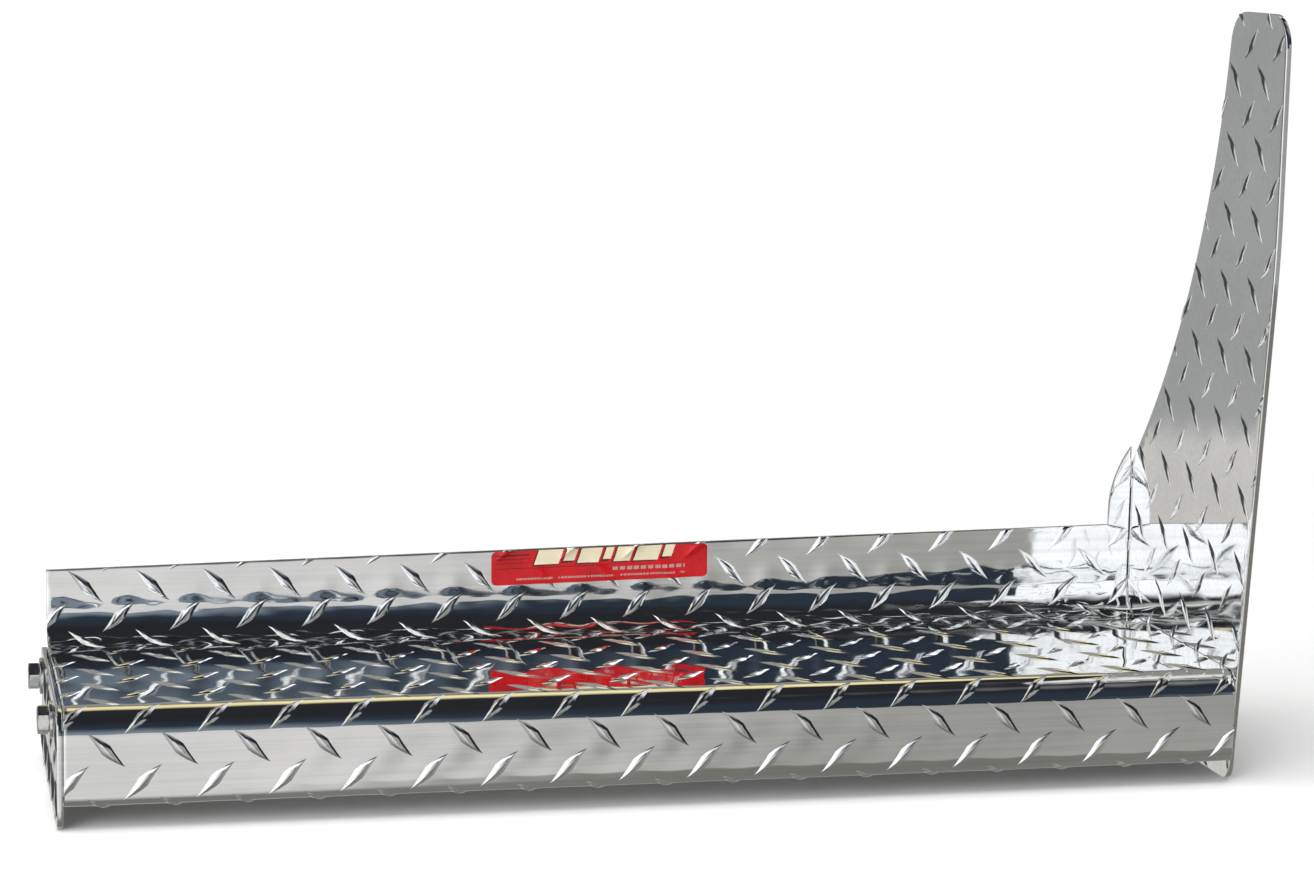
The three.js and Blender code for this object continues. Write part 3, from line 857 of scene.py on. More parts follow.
def inside_loops(points: Array, loops: Sequence[Array]) -> Array:
    """Finds the points in the material, by counting how many edges lie to their right.

    Args:
        points: rows of two coordinates.
        loops: the outline and the holes.

    Returns:
        True for each point in the material.
    """
    crossings = np.zeros(len(points), int)
    for loop in loops:
        a, b = loop, np.roll(loop, -1, axis=0)
        spans = (a[None, :, 1] > points[:, None, 1]) != (b[None, :, 1] > points[:, None, 1])
        rise = np.where(b[:, 1] == a[:, 1], 1e-9, b[:, 1] - a[:, 1])
        at = a[None, :, 0] + (points[:, None, 1] - a[None, :, 1]) / rise * (b[:, 0] - a[:, 0])[None, :]
        crossings += (spans & (at > points[:, None, 0])).sum(axis=1)
    return crossings % 2 == 1


def nearest_on(points: Array, loop: Array) -> Array:
    """The nearest point of a closed loop to each point.

    Args:
        points: rows of two coordinates.
        loop: the loop's points in order.

    Returns:
        One row for each point.
    """
    start, step = loop, np.roll(loop, -1, axis=0) - loop
    along = ((points[:, None] - start[None]) * step[None]).sum(-1) / (step**2).sum(-1)[None]
    near = start[None] + np.clip(along, 0, 1)[..., None] * step[None]
    best = ((near - points[:, None]) ** 2).sum(-1).argmin(axis=1)
    return near[np.arange(len(points)), best]


@dataclass(frozen=True)
class FlatPlate:
    """A flat plate of tread plate that stands across the board, with its lugs on the face towards -X."""

    name: str
    node: str
    face: float  # x of the face with the lugs
    thickness: float
    corners: tuple[Triple, ...]  # (y, z, radius)
    pattern: LugPattern  # over a = -y and b = z
    holes: tuple[Triple, ...] = ()  # (y, z, radius)
    edge: float = 0.5
    spacing: float = 5.0

    def loops(self) -> list[Array]:
        """The outline and the holes, all with the material on their left."""
        return [rounded_outline(self.corners)] + [circle(*hole) for hole in self.holes]

    def body(self) -> Patch:
        """The plate: both faces as triangles, and walls that round over at both faces.

        Returns:
            One closed body.
        """
        out, down = quarter_round(self.edge)
        inset = self.edge - np.concatenate([out, out[::-1]])
        depth = np.concatenate([down, self.thickness - down[::-1]])
        patches, faces = [], []
        for loop in self.loops():
            tangent = np.roll(loop, -1, axis=0) - np.roll(loop, 1, axis=0)
            tangent /= np.linalg.norm(tangent, axis=1)[:, None]
            left = np.stack([-tangent[:, 1], tangent[:, 0]], axis=1)
            rings = loop[None] + inset[:, None, None] * left[None]
            x = np.broadcast_to((self.face + depth)[:, None, None], (*rings.shape[:2], 1))
            patches.append(grid_patch(np.concatenate([x, rings], axis=2), close_columns=True))
            faces.append(rings[0])
        patches += self.faces(faces)
        return joined(patches)

    def faces(self, loops: list[Array]) -> list[Patch]:
        """Both faces inside the given loops, triangulated over a square lattice of points.

        Args:
            loops: the outline and the holes at the faces.

        Returns:
            The near face, which swells with the pattern, and the flat far one.
        """
        low, high = loops[0].min(axis=0), loops[0].max(axis=0)
        lattice = np.stack(np.meshgrid(*[np.arange(low[k], high[k], self.spacing) for k in (0, 1)]), -1)
        lattice = lattice.reshape(-1, 2)
        lattice = lattice[inside_loops(lattice, loops)]
        for loop in loops:
            away = np.linalg.norm(lattice - nearest_on(lattice, loop), axis=1)
            lattice = lattice[away > self.spacing * 0.45]
        starts = np.cumsum([0] + [len(loop) for loop in loops])
        edges = [
            (int(start + i), int(start + (i + 1) % len(loop)))
            for loop, start in zip(loops, starts) for i in range(len(loop))
        ]
        flat = np.vstack([*loops, lattice])
        found = delaunay_2d_cdt([Vector(point) for point in flat], edges, [], 0, 1e-7)
        points = np.array([tuple(vertex) for vertex in found[0]])
        triangles = np.array([tri for tri in found[2] if len(tri) == 3])
        triangles = triangles[inside_loops(points[triangles].mean(axis=1), loops)]
        bound = np.isin(np.arange(len(points)), triangles)
        on_edge = np.zeros(len(points), bool)
        for loop in loops:
            on_edge |= np.linalg.norm(points - nearest_on(points, loop), axis=1) < 1e-3
        swell = np.where(on_edge | ~bound, 0.0, self.pattern.dishing(-points[:, 0], points[:, 1]))
        near = np.column_stack([self.face - swell, points])
        far = np.column_stack([np.full(len(points), self.face + self.thickness), points])
        return [Patch(near, [triangles]), Patch(far, [triangles[:, ::-1]])]

    def lugs(self, keep: Callable[[Array], Array], limit: Callable[[Array, Array, Array], Array]) -> Patch:
        """The lugs, cut flush with the outline.

        Args:
            keep: says which places, as rows of a, b and lean, have a lug.
            limit: takes y, z and height and gives the height that is left there.

        Returns:
            One closed body for each lug.
        """
        outline = rounded_outline(self.corners)
        reach = self.pattern.length / 2
        low, high = outline.min(axis=0), outline.max(axis=0)
        places = self.pattern.places((-high[0] - reach, -low[0] + reach), (low[1] - reach, high[1] + reach))
        centres = np.column_stack([-places[:, 0], places[:, 1]])
        away = np.linalg.norm(centres - nearest_on(centres, outline), axis=1)
        near = inside_loops(centres, [outline]) | (away < reach * 0.55)
        places = places[near & keep(places)]

        def to_space(a: Array, b: Array, h: Array) -> Array:
            """Cuts a lug at the outline.

            Args:
                a: distance along the pattern's first way.
                b: distance along its second.
                h: height above the face.

            Returns:
                Points in the board's frame.
            """
            flat = np.stack([-a, b], axis=-1).reshape(-1, 2)
            outside = ~inside_loops(flat, [outline])
            flat[outside] = nearest_on(flat[outside], outline)
            h = np.where(outside.reshape(a.shape), np.minimum(h, -self.pattern.sink), h)
            y, z = flat[:, 0].reshape(a.shape), flat[:, 1].reshape(a.shape)
            return np.stack([self.face - limit(y, z, h), y, z], axis=-1)

        return self.pattern.bodies(places, to_space)


@dataclass(frozen=True)
class Ends:
    """The stone guard on the right and the bolted plate on the left."""

    sheet: TreadSheet = TreadSheet()
    gap: float = 0.3
    guard_thickness: float = 3.2
    plate_thickness: float = 3.2
    guard_height: float = 371.0
    top_back: float = 48.5
    overhang: float = 25.5
    knee: float = 240.0
    flare: Triple = (76.0, 208.0, 480.0)  # the rear edge's hollow: y, z and radius
    rear_height: float = 90.0
    corner: float = 19.0
    stand: float = 64.0
    foot: float = 9.0
    plate_depth: float = 168.0
    bolt_ys: tuple[float, float] = (46.0, 150.0)
    bolt_drop: float = 14.5
    hole: float = 5.2
    washer_clear: float = 24.3  # from a bolt's axis to the nearest lug's middle
    seat_clear: float = 1.7  # how far round the sheet's end the guard's lugs are dressed down

    def holes(self) -> tuple[Triple, ...]:
        """The bolt holes through both ends."""
        return tuple((y, -self.bolt_drop, self.hole) for y in self.bolt_ys)

    def guard(self) -> FlatPlate:
        """The guard's flat plate.

        Returns:
            A plate with a foot, a leaning front edge, rounded top corners and a hollow rear edge.
        """
        rear = self.sheet.profile.depth + self.sheet.thickness
        corners = (
            (self.stand * self.overhang / self.knee, -self.stand, self.foot),
            (rear, -self.stand, self.foot),
            (rear, self.rear_height, self.foot),
            self.flare,
            (self.top_back, self.guard_height, self.corner),
            (-self.overhang, self.guard_height, self.corner),
            (-self.overhang, self.knee, self.flare[2]),
        )
        return FlatPlate(
            name="stone_guard_plate",
            node="stone_guard",
            face=self.sheet.length + self.gap,
            thickness=self.guard_thickness,
            corners=corners,
            pattern=LugPattern(38.6, 39.2, -22.7, 352.6, dish=0.012, wander=0.012),
            holes=self.holes(),
        )

    def left_plate(self) -> FlatPlate:
        """The left end plate, whose lugs face outwards.

        Returns:
            A plate with a foot, whose upper front corner follows the nose.
        """
        corners = (
            (0.0, -self.stand, self.foot),
            (self.plate_depth, -self.stand, self.foot),
            (self.plate_depth, 0.0, self.foot),
            (0.0, 0.0, self.sheet.profile.nose),
        )
        half_along, half_across = PITCH_ALONG / 2, PITCH_ACROSS / 2
        anchor = (-self.bolt_ys[0] - half_along, -self.bolt_drop - half_across)
        return FlatPlate(
            name="left_end_plate_tread",
            node="left_end_plate",
            face=-self.gap - self.plate_thickness,
            thickness=self.plate_thickness,
            corners=corners,
            pattern=LugPattern(PITCH_ALONG, PITCH_ACROSS, *anchor),
            holes=self.holes(),
        )

    def dressed(self, y: Array, z: Array, h: Array) -> Array:
        """Dresses the guard's lugs down where the sheet's end sits against it.

        The sheet's section reaches from the skirt to the step, up the back bend's arc and behind the panel.

        Args:
            y: distance behind the skirt's face.
            z: height above the step.
            h: height of the lug there.

        Returns:
            The height that is left.
        """
        profile, clear = self.sheet.profile, self.seat_clear
        into = np.clip(y - (profile.depth - profile.back), 0, profile.back)
        arc = profile.back - np.sqrt(np.maximum(profile.back**2 - into**2, 0))
        surface = np.where(y > profile.depth - clear, self.sheet.gusset_top, arc) + clear
        seated = (y > -clear) & (z > -profile.skirt - clear) & (z < surface)
        return np.where(seated, np.minimum(h, self.gap * 0.6), h)

    def clear_of_bolts(self, places: Array) -> Array:
        """True for lugs that stand clear of the washers."""
        away = [np.hypot(-places[:, 0] - y, places[:, 1] + self.bolt_drop) for y in self.bolt_ys]
        return np.min(away, axis=0) > self.washer_clear

    def everywhere(self, places: Array) -> Array:
        """True for every lug."""
        return np.ones(len(places), bool)

    def as_rolled(self, y: Array, z: Array, h: Array) -> Array:
        """Lug heights left as they are."""
        return h

    def build(self, material: bpy.types.Material) -> None:
        """Makes both pieces.

        Args:
            material: their finish.
        """
        guard, plate = self.guard(), self.left_plate()
        guard_lugs = guard.lugs(self.everywhere, self.dressed)
        plate_lugs = plate.lugs(self.clear_of_bolts, self.as_rolled)
        for shape, lugs in ((guard, guard_lugs), (plate, plate_lugs)):
            mesh = mesh_of(shape.name, joined([shape.body(), lugs]))
            add_piece(mesh, material, [shape.node])


# ---- Turned pieces -------------------------------------------------------------------------------


@dataclass(frozen=True)
class Turned:
    """Shapes whose radius and height are given all the way round, row by row."""

    count: int = 48

    def angles(self) -> Array:
        """Angles round the axis."""
        return TURN * np.arange(self.count) / self.count

    def hexagon(self, flats: float) -> Array:
        """Radius of a hexagon with eased corners: flats/2 over the cosine of the angle from a flat."""
        from_flat = np.mod(self.angles() + TURN / 12, TURN / 6) - TURN / 12
        return np.minimum(flats / 2 / np.cos(from_flat), flats / math.sqrt(3) - 0.2)

    def rectangle(self, width: float, length: float) -> Array:
        """Radius of a rectangle with eased corners.

        It is the lesser of width/2 over |cos| and length/2 over |sin| of the angle.

        Args:
            width: its size at angle 0.
            length: its size across that.

        Returns:
            The radius at each angle.
        """
        across, along = (np.maximum(np.abs(f(self.angles())), 1e-6) for f in (np.cos, np.sin))
        side = np.minimum(width / 2 / across, length / 2 / along)
        return np.minimum(side, math.hypot(width, length) / 2 - 0.7)

    def surface(self, rows: Sequence[tuple], closed: bool = False) -> Patch:
        """A closed surface through rows of (radius, height), each a number or an array round the axis.

        Args:
            rows: from one pole to the other, or round a ring's section.
            closed: joins the last row to the first.

        Returns:
            The surface.
        """
        angle = self.angles()
        grid = []
        for radius, height in rows:
            radius = np.broadcast_to(radius, angle.shape)
            height = np.broadcast_to(height, angle.shape)
            grid.append(np.stack([radius * np.cos(angle), radius * np.sin(angle), height], axis=-1))
        return grid_patch(np.stack(grid), close_rows=closed, close_columns=True)

    def thread(self, radius: float, start: float, end: float, pitch: float) -> list[tuple]:
        """A thread cut from start down to end.

        The radius is R - d |2 frac(z/p - angle/2 pi) - 1|, with its crests and roots cut flat.

        Args:
            radius: of the crests.
            start: height of its upper end.
            end: height of its lower end.
            pitch: from crest to crest.

        Returns:
            Rows of radius and height.
        """
        rows = []
        for z in np.arange(start, end, -pitch / 6):
            wave = np.abs(2 * np.mod(z / pitch - self.angles() / TURN, 1.0) - 1)
            fade = min(1.0, (start - z) / pitch, (z - end) / pitch + 0.15)
            rows.append((radius - 0.6 * pitch * np.clip(wave * 1.25 - 0.12, 0, 1) * fade, z))
        return rows


def aimed(patch: Patch, base: Triple, axis: Triple, spin: float) -> Patch:
    """A patch made along +Z, put in its place.

    Args:
        patch: the patch.
        base: where its origin goes.
        axis: where its +Z goes.
        spin: how far it is turned about its own axis first, in radians.

    Returns:
        The patch in the board's frame.
    """
    w = np.asarray(axis, float)
    u = np.array([0.0, 1.0, 0.0]) if abs(w[2]) < 0.5 else np.array([1.0, 0.0, 0.0])
    v = np.cross(w, u)
    c, s = math.cos(spin), math.sin(spin)
    spun = patch.points @ np.array([[c, s, 0], [-s, c, 0], [0, 0, 1]])
    return Patch(spun @ np.stack([u, v, w]) + np.array(base), patch.faces)


@dataclass(frozen=True)
class FastenerSizes:
    """One size of bolt with its washers and nut."""

    diameter: float
    flats: float
    head: float
    nut: float
    pitch: float
    washer: float
    washer_thickness: float = 1.7
    washer_play: float = 0.4  # room round the shank
    chamfer: float = 0.475  # radius at which a head's or nut's chamfer starts, as a share of its flats
    chamfer_fall: float = 0.58  # how steeply it falls

    def chamfered(self) -> tuple[Array, float, Array]:
        """A hexagon's radius, the radius where its chamfer starts, and the chamfer's fall at the corners."""
        side, cut = Turned().hexagon(self.flats), self.flats * self.chamfer
        return side, cut, np.maximum(side - cut, 0) * self.chamfer_fall

    def washer_patch(self) -> Patch:
        """A flat washer, its stamped edges eased.

        Returns:
            A ring that stands on z = 0.
        """
        inner, outer = self.diameter / 2 + self.washer_play, self.washer / 2
        top, ease = self.washer_thickness, 0.3
        rows = [(inner, ease), (inner + ease, 0), (outer - ease, 0), (outer, ease), (outer, top - ease),
                (outer - ease, top), (inner + ease, top), (inner, top - ease)]
        return Turned().surface(rows, closed=True)

    def nut_patch(self) -> Patch:
        """A nut whose corners are cut back at both ends and whose bore opens in a chamfer.

        Returns:
            A hexagonal ring that stands on z = 0.
        """
        side, cut, drop = self.chamfered()
        bore, top = self.diameter / 2 + 0.08, self.nut
        rows = [(bore, 0.7), (bore + 0.7, 0), (cut, 0), (side, drop), (side, top - drop), (cut, top),
                (bore + 0.7, top), (bore, top - 0.7)]
        return Turned().surface(rows, closed=True)

    def lock_washer_patch(self, outer: float, thickness: float, slit: float) -> Patch:
        """A split ring of square section that climbs slightly from one end to the other.

        Args:
            outer: its outer diameter.
            thickness: its height over all.
            slit: the width of the gap between its ends.

        Returns:
            A closed ring that stands on z = 0.
        """
        inner, rim, ease = self.diameter / 2 + self.washer_play, outer / 2, 0.15
        gap = slit / outer * 1.3
        angle = np.linspace(gap, TURN - gap, 56)
        rise = (angle / TURN - 0.5) * 0.5
        half = thickness / 2 - 0.27  # of the square section, which leaves room for the climb
        section = [(inner + ease, -half), (rim - ease, -half), (rim, -half + ease), (rim, half - ease),
                   (rim - ease, half), (inner + ease, half), (inner, half - ease), (inner, -half + ease)]
        grid = [
            np.stack([r * np.cos(angle), r * np.sin(angle), rise + thickness / 2 + z], axis=-1)
            for r, z in section
        ]
        ring = grid_patch(np.stack(grid), close_rows=True)
        number = np.arange(len(section)) * len(angle)
        ring.faces += [number[None, :], (number + len(angle) - 1)[None, ::-1]]
        return ring

    def bolt_patch(self, shank: float, threaded: float) -> Patch:
        """A hexagon bolt with its head above z = 0: a domed chamfer, a washer face, a shank and a thread.

        Args:
            shank: its length under the head.
            threaded: how much of that is threaded.

        Returns:
            A closed body.
        """
        turned = Turned()
        side, cut, drop = self.chamfered()
        r, top = self.diameter / 2, self.head
        rows = [(0.0, top - 0.25), (cut * 0.55, top - 0.2), (cut * 0.7, top), (cut, top), (side, top - drop),
                (side, 0.5), (cut, 0.4), (cut, 0.0), (r + 0.4, 0.0), (r, -0.4), (r, -shank + threaded)]
        rows += turned.thread(r, -shank + threaded, -shank + 1.0, self.pitch)
        rows += [(r - 1.1, -shank + 0.1), (r - 1.4, -shank), (0.0, -shank)]
        return turned.surface(rows)

    def slide_bolt_patch(self, shank: float, width: float, length: float, head: float) -> Patch:
        """A bolt with a flat rectangular head above z = 0, threaded to its neck.

        Args:
            shank: its length under the head.
            width: the head's size that lies along x.
            length: the head's size across that.
            head: the head's height.

        Returns:
            A closed body.
        """
        turned = Turned(64)
        side, r, ease = turned.rectangle(width, length), self.diameter / 2, 0.5
        rows = [(0.0, head), (side - ease, head), (side, head - ease), (side, ease), (side - ease, 0.0),
                (r + 0.3, 0.0), (r, -0.3), (r, -3.0)]
        rows += turned.thread(r, -3.0, -shank + 0.9, self.pitch)
        rows += [(r - 1.0, -shank + 0.1), (r - 1.2, -shank), (0.0, -shank)]
        return turned.surface(rows)


@dataclass(frozen=True)
class EndBolts:
    """The four bolts through the end plates and the angles, each with its washer, lock washer and nut."""

    ends: Ends = Ends()
    sizes: FastenerSizes = FastenerSizes(
        diameter=9.5, flats=14.3, head=6.2, nut=8.4, pitch=1.5875, washer=20.6
    )
    lock_diameter: float = 16.8
    lock_thickness: float = 2.4
    lock_slit: float = 1.2
    angle_thickness: float = 2.5
    threaded: float = 19.0
    seat: float = 0.1  # gap between one part and the next
    past_nut: float = 3.0
    turn: float = 0.7  # radians from one part of a set to the next

    def build_one(self, name: str, y: float, side: Side, spin: float, material: bpy.types.Material) -> None:
        """Makes one set, laid out from the washer inwards.

        Args:
            name: the start of its parts' names.
            y: where its axis is.
            side: the end of the board that it is on.
            spin: how far it is turned, in radians.
            material: its finish.
        """
        ends, sizes, seat = self.ends, self.sizes, self.seat
        out = side.value
        plate = ends.guard_thickness if side is Side.RIGHT else ends.plate_thickness
        edge = ends.sheet.length if side is Side.RIGHT else 0.0
        plate_face = edge + out * (ends.gap + plate)
        angle_face = edge - out * self.angle_thickness
        grip = sizes.washer_thickness + plate + ends.gap + self.angle_thickness + self.lock_thickness
        shank = grip + sizes.nut + 4 * seat + self.past_nut
        lock_face = angle_face - out * (seat + self.lock_thickness)
        nut_face = lock_face - out * (seat + sizes.nut)
        parts = {
            "washer": (sizes.washer_patch(), plate_face + out * seat),
            "bolt": (
                sizes.bolt_patch(shank, self.threaded),
                plate_face + out * (2 * seat + sizes.washer_thickness),
            ),
            "lock_washer": (
                sizes.lock_washer_patch(self.lock_diameter, self.lock_thickness, self.lock_slit),
                lock_face,
            ),
            "nut": (sizes.nut_patch(), nut_face),
        }
        for i, (part, (patch, x)) in enumerate(parts.items()):
            placed = aimed(patch, (x, y, -ends.bolt_drop), (out, 0, 0), spin + self.turn * i)
            node = f"{name}_{part}"
            add_piece(mesh_of(f"{node}_turned", placed), material, [node])

    def build(self, material: bpy.types.Material) -> None:
        """Makes all four sets, each spun a little differently, as a spanner leaves them.

        Args:
            material: their finish.
        """
        for side, spins in ((Side.LEFT, (0.35, 0.12)), (Side.RIGHT, (0.8, 0.5))):
            for where, y, spin in zip(("front", "rear"), self.ends.bolt_ys, spins):
                self.build_one(f"{side.name.lower()}_{where}", y, side, spin, material)


@dataclass(frozen=True)
class SlideBolts:
    """The four slide bolts in the rails, with room for a bracket's flange above each washer."""

    sheet: TreadSheet = TreadSheet()
    sizes: FastenerSizes = FastenerSizes(
        diameter=7.9, flats=12.7, head=4.0, nut=6.8, pitch=1.411, washer=19.0
    )
    rail_ys: tuple[float, float] = (52.0, 132.0)
    rail_floor: float = -16.8
    rail_wall: float = 2.5
    inset: float = 120.0
    shank: float = 28.0
    head_width: float = 20.0
    head_length: float = 25.0
    bracket_room: float = 6.0
    seat: float = 0.1

    def build(self, material: bpy.types.Material) -> None:
        """Makes all four sets.

        Args:
            material: their finish.
        """
        sizes = self.sizes
        washer_bottom = self.rail_floor - self.bracket_room - sizes.washer_thickness
        spin = 0.2
        for where, y in zip(("front", "rear"), self.rail_ys):
            for end, x in (("left", self.inset), ("right", self.sheet.length - self.inset)):
                spin += 0.55
                head = sizes.slide_bolt_patch(self.shank, self.head_width, self.head_length, sizes.head)
                parts = {
                    "bolt": (head, self.rail_floor + self.rail_wall + self.seat, 0.0),
                    "washer": (sizes.washer_patch(), washer_bottom, spin),
                    "nut": (sizes.nut_patch(), washer_bottom - self.seat - sizes.nut, spin),
                }
                for part, (patch, z, turn) in parts.items():
                    node = f"{where}_{end}_slide_{part}"
                    placed = aimed(patch, (x, y, z), (0, 0, 1), turn)
                    add_piece(mesh_of(f"{node}_turned", placed), material, [node])


# ---- Extrusions, welds and label -----------------------------------------------------------------


def eased_copy(node: str, name: str, radius: float, material: bpy.types.Material) -> None:
    """A CAD node's mesh, merged and with its edges rounded over.

    Args:
        node: the CAD node that it stands for.
        name: the new piece's name.
        radius: the width of the rounded edges, in millimetres.
        material: its finish.
    """
    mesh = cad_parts[node].data.copy()
    mesh.name = name
    mesh.materials.clear()
    if "custom_normal" in mesh.attributes:
        mesh.attributes.remove(mesh.attributes["custom_normal"])
    shape = bmesh.new()
    shape.from_mesh(mesh)
    bmesh.ops.remove_doubles(shape, verts=shape.verts, dist=0.02 * MM)
    bmesh.ops.dissolve_limit(shape, angle_limit=math.radians(2), verts=shape.verts, edges=shape.edges)
    sharp = [edge for edge in shape.edges if edge.is_manifold and edge.calc_face_angle() > math.radians(40)]
    bmesh.ops.bevel(shape, geom=sharp, offset=radius * MM, segments=2, profile=0.5, affect="EDGES",
                    clamp_overlap=True)
    shape.to_mesh(mesh)
    shape.free()
    mesh.shade_smooth()
    mesh.set_sharp_from_angle(angle=EXTRUSION_SHARP)
    add_piece(mesh, material, [node])


@dataclass(frozen=True)
class Bead:
    """A weld bead along a straight joint: a round section that swells and shrinks with each puddle."""

    length: float
    across: float  # half width along the first axis
    proud: float  # height along the second axis
    sweep: float  # angle of the section, from the first axis
    puddle: float = 1.9  # distance from one ripple to the next
    swell: float = 0.07  # how much a ripple adds to the radius
    curl: float = 0.4  # how far a ripple's sides lag behind its middle
    pace: float = 0.3

    def patch(self, start: Array, along: Array, first: Array, second: Array) -> Patch:
        """The bead from its start.

        At distance t and section angle q the radius is scaled by 1 + s cos(2 pi (t/p + c m^2)), where s is
        the swell, c the curl, and m runs from -1 to 1 over the section, so that each ripple is a crescent.
        The ends round off as sqrt(1 - e^4).

        Args:
            start: the root at the bead's start.
            along: unit vector along the joint.
            first: unit vector across the bead.
            second: unit vector out of it.

        Returns:
            A closed body.
        """
        t = np.linspace(0, self.length, round(self.length / self.pace))[:, None]
        q = np.linspace(0, self.sweep, 11)[None, :]
        middle = 2 * q / self.sweep - 1
        scale = 1 + self.swell * np.cos(TURN * (t / self.puddle + self.curl * middle**2))
        end = np.clip(np.abs(2 * t / self.length - 1), 0, 1)
        nose = 3 * self.across / self.length
        taper = np.sqrt(np.clip(1 - (np.maximum(end - 1 + nose, 0) / nose) ** 4, 1e-4, 1))
        a = self.across * scale * taper * np.cos(q)
        b = self.proud * scale * taper * np.sin(q)
        surface = start + t[..., None] * along + a[..., None] * first + b[..., None] * second
        root = np.broadcast_to(start + t[..., None] * along, (len(t), 1, 3))
        patch = grid_patch(np.concatenate([root, surface], axis=1), close_columns=True)
        ring = np.arange(surface.shape[1] + 1)
        patch.faces += [ring[None, ::-1], (ring + (len(t) - 1) * len(ring))[None, :]]
        return patch


@dataclass(frozen=True)
class Welds:
    """Stitches between the rails and the step, and the bead down the corner behind the guard."""

    ends: Ends = Ends()
    rail_ys: tuple[float, float] = (52.0, 132.0)
    rail_half: float = 17.0
    leg: float = 3.8  # of a stitch, on each side of its corner
    stitch: float = 26.0
    stitches: int = 3
    corner_half: float = 3.0  # half width of the corner bead
    corner_proud: float = 1.65

    def build(self, material: bpy.types.Material) -> None:
        """Makes every bead.

        Args:
            material: their finish.
        """
        sheet, gap = self.ends.sheet, self.ends.gap
        x_axis, y_axis, z_axis = np.eye(3)
        bead = Bead(self.stitch, self.leg, self.leg, math.pi / 2)
        for where, y, side in zip(("front", "rear"), self.rail_ys, (-1, 1)):
            for i in range(self.stitches):
                x = sheet.length * (i + 0.5) / self.stitches - self.stitch / 2
                root = np.array([x, y + side * (self.rail_half + 0.1), -sheet.thickness - gap / 2])
                patch = bead.patch(root, x_axis, side * y_axis, -z_axis)
                node = f"{where}_rail_weld_{i + 1}"
                add_piece(mesh_of(f"{node}_bead", patch), material, [node])
        low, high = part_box("guard_corner_weld")
        rear = sheet.profile.depth + sheet.thickness + gap * 0.5
        corner = Bead((high.z - low.z) / MM, self.corner_half, self.corner_proud, math.pi)
        base = np.array([sheet.length, rear, (low.z - BOARD.origin.z) / MM])
        patch = corner.patch(base, z_axis, x_axis, y_axis)
        add_piece(mesh_of("guard_corner_bead", patch), material, ["guard_corner_weld"])


